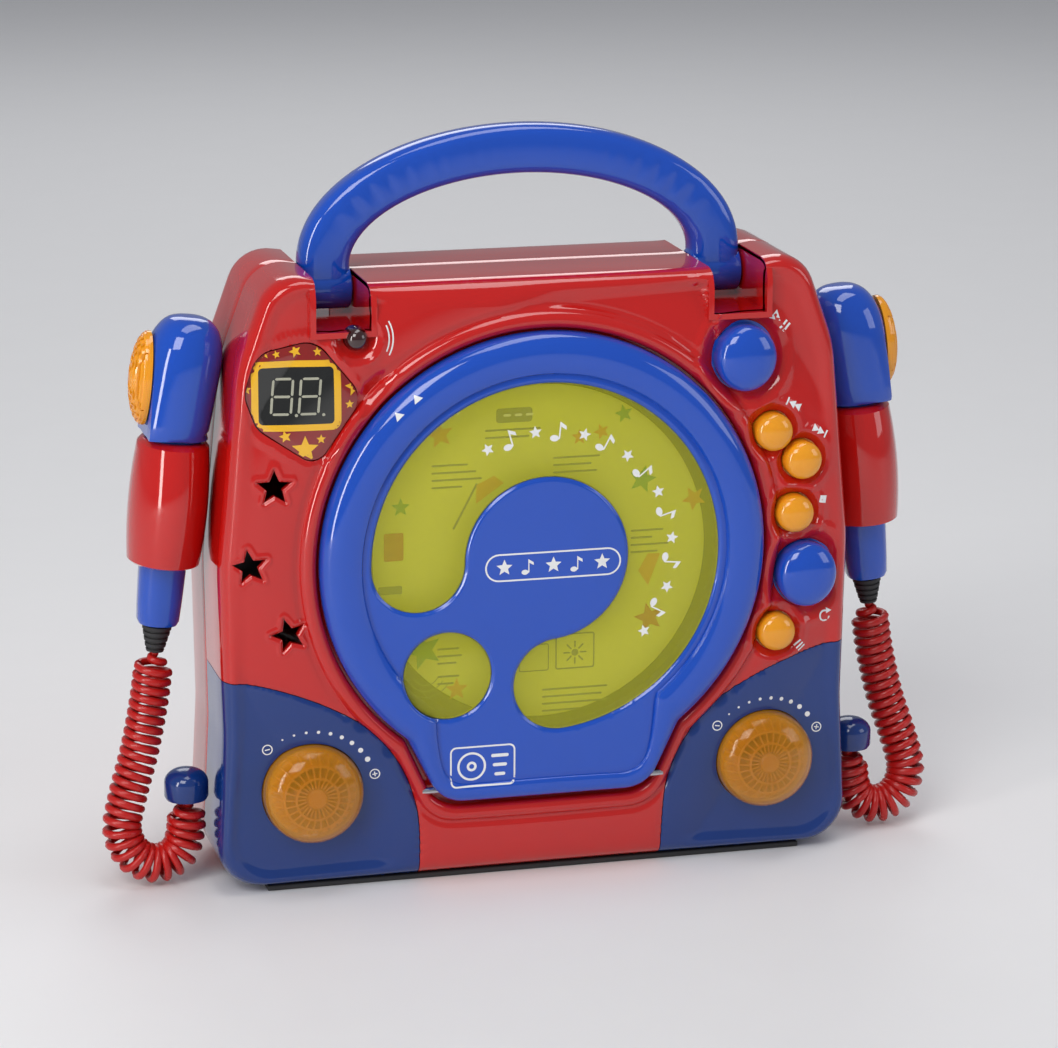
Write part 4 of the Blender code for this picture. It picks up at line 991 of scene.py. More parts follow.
def makeLidMarks():
    marks = []
    hubX, hubZ = 0.0020, -0.0020
    marks.append(markOf(pillOutline(hubX, hubZ, 0.0195, 0.0050), lidAt,
                        holes=[pillOutline(hubX, hubZ, 0.0195, 0.0044)]))
    for k in range(5):
        x = hubX + 0.0088 * (k - 2)
        shape = starOutline(x, hubZ, 0.0030) if k % 2 == 0 else turnedBy(noteOutline(0.0048), x, hubZ, 0)
        marks.append(markOf(shape, lidAt))
    x, z = -0.0230, -0.0735
    marks.append(markOf(panelOutline(x - 0.0118, x + 0.0118, z - 0.0074, z + 0.0074, 0.0022), lidAt,
                        holes=[panelOutline(x - 0.0112, x + 0.0112, z - 0.0068, z + 0.0068, 0.0017)]))
    marks.append(markOf(circleOutline(x - 0.0040, z, 0.0052), lidAt,
                        holes=[circleOutline(x - 0.0040, z, 0.0044)]))
    marks.append(markOf(circleOutline(x - 0.0040, z, 0.0018, 24), lidAt,
                        holes=[circleOutline(x - 0.0040, z, 0.0009, 16)]))
    for k in range(3):
        marks.append(markOf(pillOutline(x + 0.0062, z + 0.0034 - 0.0034 * k, 0.0026 - 0.0006 * k, 0.0006,
                                        6), lidAt))
    for degrees in (128, 134.5):       # catch mark on the ring
        a = math.radians(degrees)
        shape = turnedBy([(-0.0012, -0.0018), (0.0014, 0.0), (-0.0012, 0.0018)], 0.0762 * math.cos(a),
                         0.0762 * math.sin(a), degrees)
        marks.append(markOf(shape, lidAt))
    settle(rawObject("lidMarks", joinInto(bmesh.new(), *marks)), paint["white"], "lid", ())
    glassMarks = []
    plane = lidKit["field"] + 0.0004
    for k in range(15):                # a trail of stars and notes round the window
        degrees = 118 - 11.2 * k
        a, radius = math.radians(degrees), 0.0455
        x, z = radius * math.cos(a), radius * math.sin(a)
        shape = (starOutline(x, z, 0.0024, degrees - 90) if k % 2 == 0
                 else turnedBy(noteOutline(0.0062), x, z, degrees - 90))
        glassMarks.append(markOf(shape, lambda px, pz: plane))
    settle(rawObject("windowMarks", joinInto(bmesh.new(), *glassMarks)), paint["white"], "lid", ())


makeLidMarks()


# printed card that fills the disc's place under the windows
def makeCard():
    low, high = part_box("disc_card")
    top, back, outer, hub = low.y, high.y, high.x, 0.0073
    card = spun([(hub, back), (outer - 0.0001, back), (outer, back - 0.0001), (outer, top + 0.0001),
                 (outer - 0.0001, top), (hub, top), (hub, back)], 120, "Y", (0, 0, lidZ))
    shapes = {1: [], 2: [], 3: [], 4: [], 5: []}

    def level(x, z):
        return top

    def bar(x, z, length, thick=0.00075, tilt=0.0, kind=1):
        shapes[kind].append(turnedBy(pillOutline(0, 0, length / 2 - thick / 2, thick / 2, 5), x, z, tilt))

    shapes[1].append(panelOutline(-0.0160, -0.0030, 0.0470, 0.0522, 0.0012))
    for k in range(3):
        bar(-0.0120 + 0.0040 * k, 0.0496, 0.0028, 0.0009, kind=2)
    for x, z, lengths in ((-0.010, 0.0445, (0.020, 0.016)), (-0.0290, 0.0330, (0.013, 0.016, 0.018, 0.011)),
                          (0.0145, 0.0335, (0.017, 0.014, 0.016)),
                          (0.0430, 0.0055, (0.012, 0.008, 0.014, 0.010)),
                          (0.0110, -0.0505, (0.024, 0.022, 0.024, 0.014)),
                          (-0.0270, -0.0330, (0.008, 0.009, 0.007)),
                          (-0.0270, -0.0430, (0.008, 0.006))):
        for k, length in enumerate(lengths):
            bar(x - 0.010 + length / 2, z - 0.0026 * k, length)
    for x, z, size, tilt, kind in ((-0.0360, 0.0440, 0.0050, 10, 3), (0.0370, 0.0240, 0.0052, -14, 4),
                                   (0.0400, -0.0265, 0.0056, 12, 5), (-0.0420, -0.0330, 0.0070, 18, 4),
                                   (0.0560, 0.0160, 0.0046, 30, 3), (0.0140, 0.0405, 0.0030, 0, 3),
                                   (0.0220, 0.0420, 0.0030, 20, 3), (-0.0300, -0.0480, 0.0042, 0, 3),
                                   (-0.0500, 0.0190, 0.0034, 0, 4), (0.0300, 0.0480, 0.0034, 12, 4)):
        shapes[kind].append(starOutline(x, z, size, tilt))
    shapes[5].append(panelOutline(-0.0560, -0.0490, 0.0000, 0.0100, 0.0008))
    shapes[1].append(panelOutline(-0.0580, -0.0495, -0.0120, -0.0090, 0.0006))
    for x, z, tilt in ((-0.0190, 0.0240, 25), (0.0400, -0.0080, 60)):
        shapes[3].append(turnedBy([(-0.006, -0.003), (0.006, -0.001), (0.004, 0.003), (-0.003, 0.003)],
                                  x, z, tilt))
    shapes[1].append(turnedBy([(-0.009, -0.0004), (0.009, -0.0004), (0.009, 0.0004), (-0.009, 0.0004)],
                              -0.0270, 0.0180, 62))
    marks = []
    for kind, outlines in shapes.items():
        for outline in outlines:
            mark = markOf(outline, level, 0.00004 * kind)
            for face in mark.faces:
                face.material_index = kind
            marks.append(mark)
    x, z = 0.0130, -0.0375               # an outlined panel with a sunburst
    frameMarks = [markOf(panelOutline(x - 0.0072, x + 0.0072, z - 0.0060, z + 0.0072, 0.0010), level,
                         holes=[panelOutline(x - 0.0066, x + 0.0066, z - 0.0054, z + 0.0066, 0.0006)])]
    frameMarks.append(markOf(panelOutline(x - 0.0205, x - 0.0095, z - 0.0060, z + 0.0040, 0.0010), level,
                             holes=[panelOutline(x - 0.0201, x - 0.0099, z - 0.0056, z + 0.0036, 0.0006)]))
    frameMarks += [markOf(turnedBy(pillOutline(0.0030, 0, 0.0010, 0.0003, 4), x, z, 45 * k), level)
                   for k in range(8)]
    frameMarks.append(markOf(circleOutline(x, z, 0.0013, 16), level))
    frameMarks += [markOf(arcBand(-0.0410, -0.0410, 0.0046 + 0.0022 * k, 0.0049 + 0.0022 * k, 200, 330),
                          level) for k in range(3)]
    for mark in frameMarks:
        for face in mark.faces:
            face.material_index = 1
    joinInto(card, *marks, *frameMarks)
    settle(rawObject("printedCard", card),
           [paint[n] for n in ("card", "cardGrey", "cardPale", "cardOrange", "cardGreen", "cardRed")],
           "disc", "disc_card")


makeCard()
print("marks and card printed")


# buttons and knobs
def makeButtons():
    k = buttonKit
    for group, members in zip(dishes, k["groups"]):
        for (x, z, hole, oval, big), (name, _) in zip(group, members):
            radius = hole - k["gap"]
            top = k["bigTop"] if big else k["smallTop"]
            side = -0.0306
            turns = np.linspace(0, math.pi / 2, 14)
            dome = [(radius * math.sin(a) ** 0.92, side - (side - top) * math.cos(a) ** 0.85)
                    for a in turns[:-1]]
            dome[0] = (0, top)
            flange = -0.0262
            profile = dome + [(radius, side), (radius, flange), (radius + 0.0009, flange),
                              (radius + 0.0009, flange + 0.0012),
                              (0.0025, flange + 0.0012), (0.0025, -0.0190), (0, -0.0190)]
            piece = rawObject(name.replace("_b", "B").replace("skip_", "skip").replace("_", ""),
                              spun(profile, 72, "Y", spot(x, z), oval))
            settle(piece, paint["blue" if big else "orange"], name, name,
                   50)


makeButtons()


def makeKnobs():
    k = knobKit
    for side, hand in sides:
        node = "mic_volume_knob" if side < 0 else "power_volume_knob"
        x, z = knobPlaces[hand]
        top, foot, r, w = k["top"], k["foot"], k["radius"], k["wall"]
        turns = np.linspace(0, math.pi / 2, 16)
        dome = [(r * math.sin(a), foot - (foot - top) * math.cos(a) ** 0.9)
                for a in turns[:-1]] + [(r, foot)]
        dome[0] = (0, top)
        under = [((r - w) * math.sin(a), foot - (foot - top - w) * math.cos(a) ** 0.9)
                 for a in turns[::-1][1:]]
        under[-1] = (0, top + w)
        profile = dome + [(r, k["back"]), (r + 0.002, k["back"]), (r + 0.002, k["back"] + 0.0015),
                          (r - w, k["back"] + 0.0015), (r - w, foot)] + under
        cap = spun(profile, 96, "Y", spot(x, z))
        settle(rawObject(f"knobDome_{hand}", cap), paint["amber"], node, node, 50)
        core = [spun([(0, top + 0.0032), (0.0030, top + 0.0030), (0.0036, top + 0.0036), (0.0036, -0.0165),
                      (0, -0.0165)],
                     40, "Y", spot(x, z))]
        core.append(spun([(0, foot + 0.0026), (r - w - 0.0004, foot + 0.0026),
                          (r - w - 0.0004, foot + 0.0040),
                          (0, foot + 0.0040)], 64, "Y", spot(x, z)))
        for ring in (0.0075, 0.0115):
            y = foot - (foot - top - w) * math.sqrt(1 - (ring / (r - w)) ** 2) + 0.0007
            core.append(spun([(ring - 0.0004, y), (ring + 0.0004, y + 0.0002),
                              (ring + 0.0004, foot + 0.0030),
                              (ring - 0.0004, foot + 0.0030), (ring - 0.0004, y)], 64, "Y",
                             spot(x, z)))
        for n in range(k["ribs"]):
            a = whole * n / k["ribs"]
            near, far = 0.0038, r - w - 0.0010
            blade = bmesh.new()
            height = [(near, top + 0.0040), (0.008, top + 0.0034), (0.0118, top + 0.0044),
                      (far, foot + 0.0002),
                      (far, foot + 0.0030), (near, foot + 0.0030)]
            face = blade.faces.new([blade.verts.new((px, py, -0.00028)) for px, py in height])
            thicken(blade, face, (0, 0, 0.00056))
            bmesh.ops.rotate(blade, verts=blade.verts, cent=(0, 0, 0), matrix=Matrix.Rotation(a, 3, "Y"))
            bmesh.ops.translate(blade, verts=blade.verts, vec=spot(x, z))
            core.append(blade)
        settle(rawObject(f"knobCore_{hand}", joinInto(bmesh.new(), *core)), paint["amberCore"], node, (),
               40)


makeKnobs()
print("buttons and knobs fitted")


# display
def makeDisplay():
    lens = bmesh.new()
    bmesh.ops.create_grid(lens, x_segments=46, y_segments=46, size=0.5)
    bmesh.ops.rotate(lens, verts=lens.verts, cent=(0, 0, 0), matrix=Matrix.Rotation(math.pi / 2, 3, "X"))
    bmesh.ops.scale(lens, verts=lens.verts, vec=(0.050, 1, 0.052))
    bmesh.ops.translate(lens, verts=lens.verts, vec=(-0.0845, 0, lidZ + 0.0580))
    grown = bmesh.ops.extrude_face_region(lens, geom=lens.faces[:])["geom"]
    back = {g for g in grown if isinstance(g, bmesh.types.BMVert)}
    edge = lensOutline(-0.0002)

    # front of the gently arched lens, its rim rounded down into the groove
    def glassLevel(x, z):
        x, z = np.asarray(x, float), np.asarray(z, float)
        away = -outside(edge, x, z)
        base = -caseKit["crown"] * np.clip((np.hypot(x, z) - holeReach(np.arctan2(z, x)) - 0.009) / 0.024,
                                           0, 1) ** 2
        return caseKit["face"] - base - 0.0006 + 0.0007 * (1 - step(0, 0.0022, away))

    co = coordsOf(lens)
    y = glassLevel(co[:, 0], co[:, 2] - lidZ)
    for vert, level in zip(lens.verts, y):
        vert.co.y = level + (0.0016 if vert in back else 0)
    bmesh.ops.recalc_face_normals(lens, faces=lens.faces)
    piece = cutBy(rawObject("displayLens", lens), plate(edge, cutFrom, cutTo), how="INTERSECT")
    settle(piece, paint["lens"], "case", "display_lens")
    level = levelOn("displayLens")
    x, z = -0.0871, 0.0612
    marks = {0: [], 1: [], 2: []}
    ring = panelOutline(x - 0.0152, x + 0.0152, z - 0.0118, z + 0.0122, 0.003, 10)
    hole = panelOutline(x - 0.0128, x + 0.0128, z - 0.0096, z + 0.0100, 0.0015, 10)
    marks[0].append(markOf(ring, level, 0.00008, [hole]))
    marks[1].append(markOf(hole, level, 0.00005))
    for sx, sz, size, tilt in ((-0.0845, 0.0429, 0.0048, 0), (-0.0672, 0.0640, 0.0034, 10),
                               (-0.0690, 0.0580, 0.0016, 0),
                               (-0.0790, 0.0463, 0.0017, 0), (-0.0912, 0.0476, 0.0022, 14),
                               (-0.0975, 0.0760, 0.0017, 0),
                               (-0.0870, 0.0765, 0.0022, 20), (-0.0795, 0.0762, 0.0016, 0),
                               (-0.1040, 0.0640, 0.0018, 0),
                               (-0.0935, 0.0757, 0.0014, 15)):
        marks[0].append(markOf(starOutline(sx, sz, size, tilt), level, 0.00008))
    for dx in (-0.0048, 0.0045):
        for cx, cz, along in ((0, 0.0060, True), (0, 0.0, True), (0, -0.0060, True),
                              (-0.0033, 0.0030, False),
                              (0.0033, 0.0030, False), (-0.0033, -0.0030, False), (0.0033, -0.0030, False)):
            half, thick = 0.0024, 0.00042
            bar = [(-half - thick, 0), (-half, -thick), (half, -thick), (half + thick, 0), (half, thick),
                   (-half, thick)]
            lean = [(px, pz) if along else (pz, px) for px, pz in bar]
            slant = [(x + dx + cx + px + 0.10 * (cz + pz), z + cz + pz) for px, pz in lean]
            marks[2].append(markOf(slant, level, 0.00012))
        marks[2].append(markOf(circleOutline(x + dx + 0.0046, z - 0.0064, 0.00055, 12), level, 0.00012))
    made = bmesh.new()
    for kind, group in marks.items():
        joinInto(made, *group, paint=kind)
    settle(rawObject("displayMarks", made), [paint["yellow"], paint["black"], paint["segment"]], "case",
           ())
    x, z = sensorAt
    eye = spun([(0, -0.0318), (0.0012, -0.0317), (0.0024, -0.0312), (0.0034, -0.0302), (0.0040, -0.0290),
                (0.0041, -0.0240),
                (0, -0.0240)], 40, "Y", spot(x, z))
    settle(rawObject("sensorEye", eye), paint["glass"], "case", "remote_sensor")


makeDisplay()
print("display fitted")


# handle
handleKit = {"legX": 0.0705, "wide": 0.0180, "thick": 0.0150, "rise": 0.0460, "leg": 0.0080, "steps": 90,
             "around": 40,
             "square": 0.62}


def makeHandle():
    k = handleKit
    pivot = joints["handle_swing"]["pos_m"]
    rise = k["rise"] - k["leg"]
    arch = [(k["legX"] * math.cos(a), k["leg"] + rise * math.sin(a))
            for a in np.linspace(0, math.pi, k["steps"] - 7)]
    line = ([(k["legX"], s) for s in (-0.0004, 0.002, 0.004, 0.006)] + arch
            + [(-k["legX"], s) for s in (0.006, 0.004, 0.002, -0.0004)])
    line = np.array(line)
    out = asideOf(line)
    top = step(0.018, 0.034, line[:, 1])         # the grip swells a little at the top

    def place(row, angle):
        c, s = np.cos(angle), np.sin(angle)
        across = np.sign(c) * np.abs(c) ** k["square"] * k["wide"] / 2 * (1 - 0.03 * top[row])
        through = np.sign(s) * np.abs(s) ** k["square"] * k["thick"] / 2 * (1 - 0.04 * (1 - top[row]))
        groove = (0.0006 * hump(np.abs(s), 1.0, 0.10) * top[row]
                  * (0.5 + 0.5 * np.cos(line[row, 0] / 0.0030 * math.pi)))
        through = through - np.sign(s) * groove
        return (line[row, 0] + out[row, 0] * across, pivot[1] + through,
                pivot[2] + line[row, 1] + out[row, 1] * across)

    handle = rawObject("carryHandle", wrapGrid(place, len(line) - 1, k["around"], capped=True))
    half, radius = k["wide"] / 2, k["thick"] / 2 + 0.0004
    lug = [(0, -half), (radius - 0.0006, -half), (radius, -half + 0.0006), (radius, half - 0.0006),
           (radius - 0.0006, half), (0, half)]
    for side in (-1, 1):
        cutBy(handle, spun(lug, 48, "X", (side * k["legX"], pivot[1], pivot[2])), how="UNION")
    cutBy(handle, punch(0.0033, -0.09, 0.09, 32, "X", (0, pivot[1], pivot[2])))
    settle(handle, paint["blue"], "handle", "handle", 50)


makeHandle()
print("handle shaped")


# microphones, made along their own axis from the underside of the head
micKit = {"tilt": 6.0, "head": 0.0420, "headX": 0.0135, "headY": 0.0150, "stem": 0.0680, "stemR": 0.0096,
          "grilleAt": 0.0108, "grilleUp": 0.0195, "grilleHalf": 0.0165, "grilleRise": 0.0062,
          "holster": 0.0460}


def micPlace(side):
    shift = (side * 0.1240, 0.0020, lidZ + 0.0430)
    return Matrix.Translation(shift) @ Matrix.Rotation(-side * math.radians(micKit["tilt"]), 4, "Y")


# a tube of ovals (along, half x, half y) along Z
def ovalTube(rows, around=48, power=1.0):
    rows = np.array(rows)

    def place(row, angle):
        c, s = np.cos(angle), np.sin(angle)
        return (rows[row, 1] * np.sign(c) * np.abs(c) ** power,
                rows[row, 2] * np.sign(s) * np.abs(s) ** power,
                rows[row, 0])

    return wrapGrid(place, len(rows) - 1, around, capped=True)


# set a shape made for the right-hand side in its place on either side
def placed(bm, side):
    bmesh.ops.scale(bm, verts=bm.verts, vec=(side, 1, 1))
    bmesh.ops.transform(bm, matrix=micPlace(side), verts=bm.verts)
    bmesh.ops.recalc_face_normals(bm, faces=bm.faces)
    return bm


def makeMicrophones():
    k = micKit
    r, hx, hy, top = k["stemR"], k["headX"], k["headY"], k["head"]
    for side, hand in sides:
        body = f"mic_{hand}"
        rows = [(-k["stem"], r * 0.55, r * 0.55), (-k["stem"] + 0.0006, r * 0.70, r * 0.70),
                (-k["stem"] + 0.0022, r * 0.78, r * 0.78)]
        rows += [(-k["stem"] + 0.0022 + (k["stem"] - 0.0032) * t, r * (0.78 + 0.22 * t ** 0.8),
                  r * (0.78 + 0.22 * t ** 0.8))
                 for t in np.linspace(0.1, 1, 10)]
        rows += [(-0.0003, r * 1.0, r * 1.0), (0.0, hx * 0.86, hy * 0.86), (0.0008, hx * 0.95, hy * 0.95),
                 (0.0022, hx, hy)]
        rows += [(z, hx, hy) for z in (0.006, 0.012, 0.018, 0.024)]
        rows += [(0.024 + (top - 0.024) * math.sin(a), hx * math.cos(a) ** 0.62, hy * math.cos(a) ** 0.62)
                 for a in np.linspace(0.15, 1.50, 14)]
        shell = ovalTube(rows, 64, 0.86)
        co = coordsOf(shell)
        inner = co[:, 2] > 0.0004
        lean = np.where(inner, (co[:, 2] - 0.020) * 0.10, 0)       # the head leans inwards towards its top
        co[:, 0] -= np.clip(lean, -0.002, 0.0018)
        co[:, 2] -= np.where(inner & (co[:, 2] < 0.010), 0.0016 * co[:, 0] / hx * (1 - co[:, 2] / 0.010), 0)
        moveTo(shell, co)
        piece = rawObject(f"micBody_{hand}", placed(shell, side))
        seat = placed(boxed((k["grilleAt"] - 0.0002, -0.03, -0.01), (0.03, 0.03, 0.06)), side)
        pocket = placed(punch(0.0053, k["grilleAt"] - 0.008, 0.02, 32, "X", (0, 0, k["grilleUp"])), side)
        cutBy(piece, seat, pocket)
        settle(piece, paint["blue"], body, f"mic_shell_{hand}", 40)
        base, half, rise = k["grilleAt"] + 0.0003, k["grilleHalf"], k["grilleRise"]
        dome = [(half * math.sin(a), base + 0.0008 + (rise - 0.0008) * math.cos(a))
                for a in np.linspace(0, math.pi / 2, 22)]
        for i in range(3, 20, 3):      # turned grooves
            dome[i] = (dome[i][0] - 0.0001, dome[i][1] - 0.0007)
        grille = spun(dome + [(half, base), (0, base)], 72, "X")
        bmesh.ops.scale(grille, verts=grille.verts, vec=(1, 0.62, 1))
        bmesh.ops.translate(grille, verts=grille.verts, vec=(0, 0, k["grilleUp"]))
        slots = []
        for n in range(-3, 4):
            reach = 0.0145 * math.sqrt(1 - (n / 4.2) ** 2)
            slot = boxed((base + 0.0009, -0.00055, -reach), (0.03, 0.00055, reach))
            bmesh.ops.translate(slot, verts=slot.verts, vec=(0, n * 0.0024, k["grilleUp"]))
            slots.append(slot)
        mesh = rawObject(f"micGrille_{hand}", placed(grille, side))
        cutBy(mesh, placed(joinInto(bmesh.new(), *slots), side))
        settle(mesh, paint["orange"], body, f"mic_grille_{hand}", 30)
        low = -k["stem"] - 0.0003
        rings = [(low, 0.0040), (low, 0.0052)]
        for n in range(4):
            z = low - 0.0012 - 0.0021 * n
            rings += [(z, 0.0051 - 0.0005 * n), (z - 0.0001, 0.0042 - 0.0005 * n),
                      (z - 0.0008, 0.0042 - 0.0005 * n),
                      (z - 0.0009, 0.0048 - 0.0005 * n)]
        rings += [(low - 0.0093, 0.0030), (low - 0.0095, 0.0020)]
        relief = ovalTube([(z, radius, radius) for z, radius in rings], 40)
        settle(rawObject(f"micRelief_{hand}", placed(relief, side)), paint["rubber"], body,
               f"mic_strain_relief_{hand}", 30)


def makeHolsters():
    k = micKit
    end = -k["holster"]
    for side, hand in sides:
        rows = [(end, 0.0098, 0.0112), (end + 0.0004, 0.0112, 0.0126)]
        for t in np.linspace(0, 1, 22):
            swell = math.sin(math.pi * (0.16 + 0.70 * t)) ** 0.75
            rows.append((end + 0.0016 + (k["holster"] - 0.0044) * t, 0.0110 + 0.0027 * swell,
                         0.0120 + 0.0068 * swell))
        rows += [(-0.0022, 0.0119, 0.0142), (-0.0014, 0.0112, 0.0134), (-0.0012, 0.0104, 0.0124)]
        outer = rawObject(f"micHolster_{hand}", placed(ovalTube(rows, 72), side))
        channel = placed(ovalTube([(-0.06, 0.0102, 0.0102), (0.01, 0.0102, 0.0102)], 48), side)
        slot = placed(boxed((-0.0075, 0.0, -0.06), (0.0075, 0.03, 0.01)), side)
        cutBy(outer, channel, slot, plate(bodyOutline(), -0.05, 0.05))
        settle(outer, paint["red"], "case", f"mic_holster_{hand}", 40)


def makeGlands():
    for side, hand in sides:
        low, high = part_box(f"cord_gland_{hand}")
        r = 0.0078
        profile = [(0, low.z), (0.0050, low.z), (0.0056, low.z + 0.0003), (r * 0.92, low.z + 0.0008),
                   (r, low.z + 0.0020)]
        profile += [(r, high.z - 0.0052)] + [(r * math.cos(a) ** 0.9,
                                              high.z - 0.0052 + 0.0052 * math.sin(a))
                                             for a in np.linspace(0.15, 1.45, 10)] + [(0, high.z)]
        gland = spun(profile, 56, "Z", (0, 0, 0))
        bmesh.ops.translate(gland, verts=gland.verts, vec=(side * 0.1232, -0.0060, 0))
        bmesh.ops.recalc_face_normals(gland, faces=gland.faces)
        piece = cutBy(rawObject(f"cordGland_{hand}", gland), plate(bodyOutline(), -0.05, 0.05))
        settle(piece, paint["navy"], "case", f"cord_gland_{hand}", 40)


makeMicrophones()
makeHolsters()
makeGlands()
print("microphones and holsters fitted")


# back, base pad and marks on the case
def makeBack():
    low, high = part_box("battery_door")
    door = rawObject("batteryDoor", boxed(low, high, 0.0005, 2))
    grip = boxed((-0.013, high.y - 0.0010, high.z - 0.0110), (0.013, high.y + 0.01, high.z - 0.0050))
    grooves = [boxed((-0.040, high.y - 0.0005, low.z + 0.008 + 0.0052 * n),
                     (0.040, high.y + 0.01, low.z + 0.0094 + 0.0052 * n))
               for n in range(6)]
    cutBy(door, joinInto(grip, *grooves))
    ribs = [boxed((-0.0115 + 0.0046 * n, high.y - 0.0012, high.z - 0.0104),
                  (-0.0100 + 0.0046 * n, high.y - 0.0002, high.z - 0.0056),
                  0.0002, 2) for n in range(6)]
    made = bmesh.new()
    made.from_mesh(door.data)
    joinInto(made, *ribs)
    made.to_mesh(door.data)
    made.free()
    settle(door, paint["red"], "battery_door", "battery_door", 30)
    ventPlate = boxed((-0.034, 0.0360, lidZ + 0.036), (0.034, 0.0368, lidZ + 0.064), 0.0002, 2)
    settle(rawObject("ventScreen", ventPlate), paint["dark"], "case", (), 30)
    low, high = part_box("base_pad")
    pad = boxed(low, high, 0.0006, 3)
    treads = [boxed((-0.092 + 0.008 * n, low.y + 0.003, low.z - 0.01),
                    (-0.0895 + 0.008 * n, high.y - 0.003, low.z + 0.0006))
              for n in range(24)]
    piece = cutBy(rawObject("basePad", pad), joinInto(bmesh.new(), *treads))
    settle(piece, paint["rubber"], "case", "base_pad", 30)


def arrowOutline(size):
    return [(-size * 0.5, -size * 0.6), (size * 0.6, 0), (-size * 0.5, size * 0.6)]


def barOutline(x, z, wide, tall):
    return [(x - wide / 2, z - tall / 2), (x + wide / 2, z - tall / 2), (x + wide / 2, z + tall / 2),
            (x - wide / 2, z + tall / 2)]


# plain pictograms beside the buttons, instead of words
def makeCaseMarks():
    places = {name: (x, z) for group, members in zip(dishes, buttonKit["groups"])
              for (x, z, *_), (name, _) in zip(group, members)}
    marks = []
    level = levelOn("frontShell", "cornerCover_left", "cornerCover_right")

    def stamp(shape, x, z, tilt=0.0):
        marks.append(markOf(turnedBy(shape, x, z, tilt), level))

    x, z = places["play_button"]
    x, z = x + 0.0135, z + 0.0118
    stamp([(px - 0.0022, pz) for px, pz in arrowOutline(0.0034)], x, z, -45)
    for dx in (0.0016, 0.0032):
        stamp(barOutline(dx, 0, 0.0008, 0.0038), x, z, -45)
    for name, flip in (("skip_back_button", -1), ("skip_forward_button", 1)):
        x, z = places[name]
        x, z = x + 0.0072, z + 0.0095
        for dx in (-0.0022, 0.0002):
            shape = [(px + dx, pz) for px, pz in arrowOutline(0.0024)]
            stamp([(flip * px, pz) for px, pz in (shape if flip > 0 else shape[::-1])], x, z, -30)
        stamp(barOutline(flip * 0.0022, 0, 0.0006, 0.0028), x, z, -30)
    x, z = places["stop_button"]
    stamp(barOutline(0, 0, 0.0026, 0.0026), x + 0.0108, z + 0.0042, -10)
    x, z = places["repeat_button"]
    stamp(arcBand(0, 0, 0.0016, 0.0022, 50, 330), x + 0.0080, z - 0.0166, 20)
    stamp([(px + 0.0014, pz + 0.0019) for px, pz in arrowOutline(0.0018)], x + 0.0080, z - 0.0166, 0)
    x, z = places["program_button"]
    for k in range(3):
        stamp(barOutline(0, 0.0013 * (k - 1), 0.0032, 0.0006), x + 0.0092, z - 0.0060, 40)
    x, z = sensorAt
    for k in range(2):
        stamp(arcBand(0, 0, 0.0108 + 0.0014 * k, 0.0113 + 0.0014 * k, -24 - 4 * k, 24 + 4 * k, 12), x, z)
    for hand in ("left", "right"):
        x, z = knobPlaces[hand]
        lean = 1 if hand == "left" else -1
        for n in range(9):             # wedge of growing dots round the knob
            degrees = (118 - 11 * n) if hand == "left" else (128 - 11 * n)
            a, size = math.radians(degrees), 0.00035 + 0.00008 * n
            stamp(circleOutline(0, 0, size, 14), x + 0.0222 * math.cos(a), z + 0.0222 * math.sin(a))
        for degrees, plus in ((134 if hand == "left" else 143, False),
                              (14 if hand == "left" else 24, True)):
            a = math.radians(degrees)
            mx, mz = x + 0.0225 * math.cos(a), z + 0.0225 * math.sin(a)
            marks.append(markOf(circleOutline(mx, mz, 0.0019, 24), level,
                                holes=[circleOutline(mx, mz, 0.0015, 20)]))
            stamp(barOutline(0, 0, 0.0018, 0.0004), mx, mz, lean * 10)
            if plus:
                stamp(barOutline(0, 0, 0.0004, 0.0018), mx, mz, lean * 10)
    settle(rawObject("caseMarks", joinInto(bmesh.new(), *marks)), paint["white"], "case", ())


makeBack()
makeCaseMarks()
print("back and marks made")


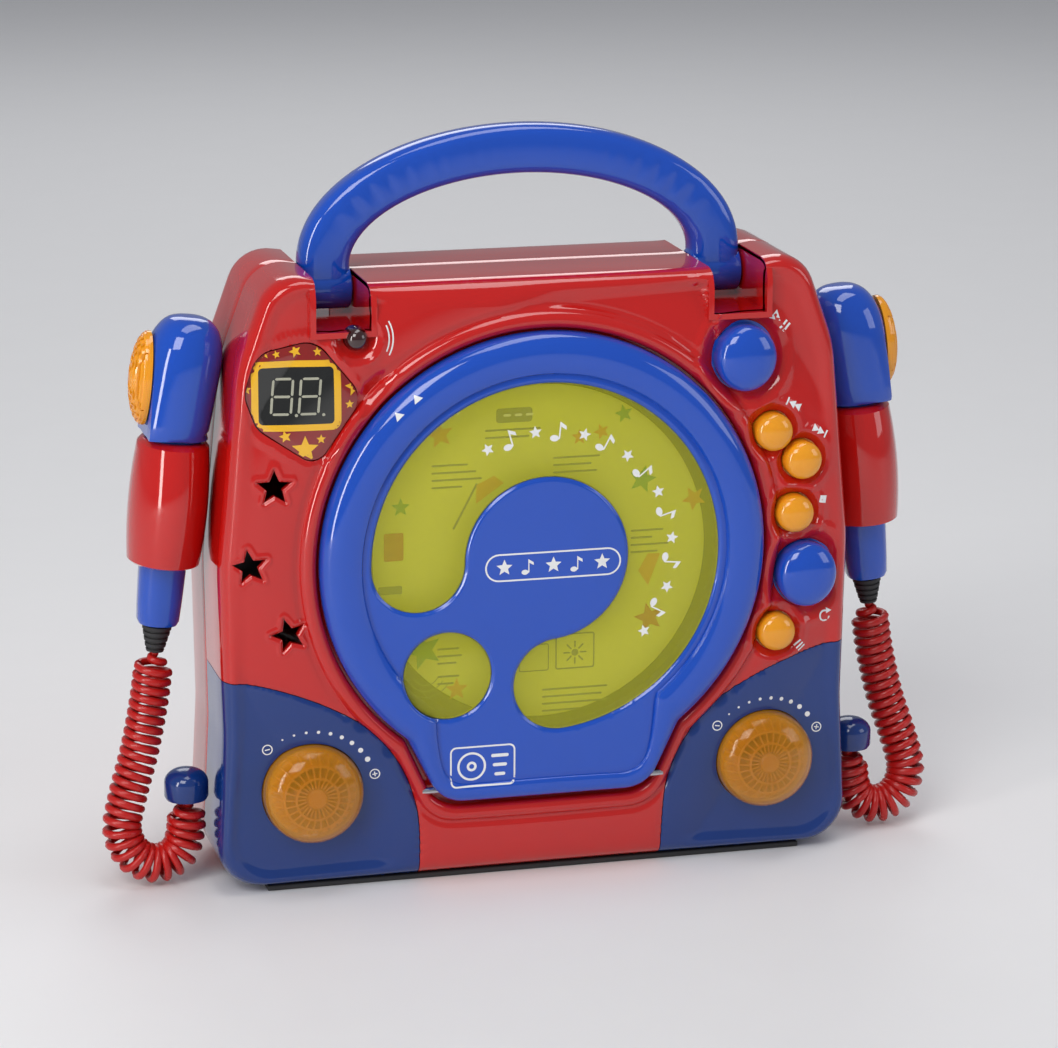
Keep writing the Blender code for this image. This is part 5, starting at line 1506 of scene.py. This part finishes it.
# CAD pieces that stay as they are get finished materials
plainNodes = {
    "dark": ("disc_well", "mech_chassis", "turntable", "pickup_sled", "display_module", "battery_tray",
             "speaker", "headphone_socket", "adaptor_socket", "volume_control_left",
             "volume_control_right"),
    "steel": ("guide_rod_1", "guide_rod_2", "spindle_motor", "lid_hinge_pin", "mic_capsule_left",
              "mic_capsule_right", *(f"case_screw_{n}" for n in range(1, 5))),
    "foil": ("battery_contact_left", "battery_contact_right"),
    "board": ("main_board", "key_board"),
    "navy": ("handle_pivot_left", "handle_pivot_right"),
}
for label, names in plainNodes.items():
    for name in names:
        node = frame["nodes"][name]
        node.data.materials.clear()
        node.data.materials.append(paint[label])


# floor and light
roomKit = {"floor": (0.86, 0.86, 0.87), "world": (0.92, 0.94, 1.0), "worldPower": 0.30}


def makeRoom(kit):
    floor = bmesh.new()
    bmesh.ops.create_grid(floor, x_segments=1, y_segments=1, size=6.0)
    plane = rawObject("floor", floor)
    mat = makePaint("paleFloor", kit["floor"], 0.55, 0.1, 0.0, 0.0, 0.98)
    plane.data.materials.append(mat)
    world = bpy.data.worlds.new("studio")
    world.use_nodes = True
    world.node_tree.nodes["Background"].inputs["Color"].default_value = (*kit["world"], 1)
    world.node_tree.nodes["Background"].inputs["Strength"].default_value = kit["worldPower"]
    bpy.context.scene.world = world
    bpy.context.scene.view_settings.view_transform = "Standard"


def addLamp(name, place, aim, size, power, colour=(1, 1, 1)):
    data = bpy.data.lights.new(name, "AREA")
    data.shape = "RECTANGLE"
    data.size, data.size_y = size
    data.energy = power
    data.color = colour
    lamp = bpy.data.objects.new(name, data)
    bpy.context.scene.collection.objects.link(lamp)
    lamp.location = place
    lamp.rotation_euler = (Vector(aim) - Vector(place)).to_track_quat("-Z", "Y").to_euler()


makeRoom(roomKit)
middle = (0, 0, lidZ)
addLamp("keyBox", (-0.9, -1.3, 1.5), middle, (0.9, 0.9), 15, (1.0, 0.985, 0.96))
addLamp("leftStrip", (-1.25, -0.75, 0.35), middle, (0.22, 1.1), 8, (1.0, 0.97, 0.93))
addLamp("topBox", (0.15, -0.15, 1.7), middle, (1.2, 0.6), 7)
addLamp("rightFill", (1.5, -0.9, 0.7), middle, (0.8, 0.8), 4, (0.95, 0.97, 1.0))
addLamp("backFill", (0.3, 1.8, 1.3), middle, (1.2, 0.8), 7)
print("room lit")
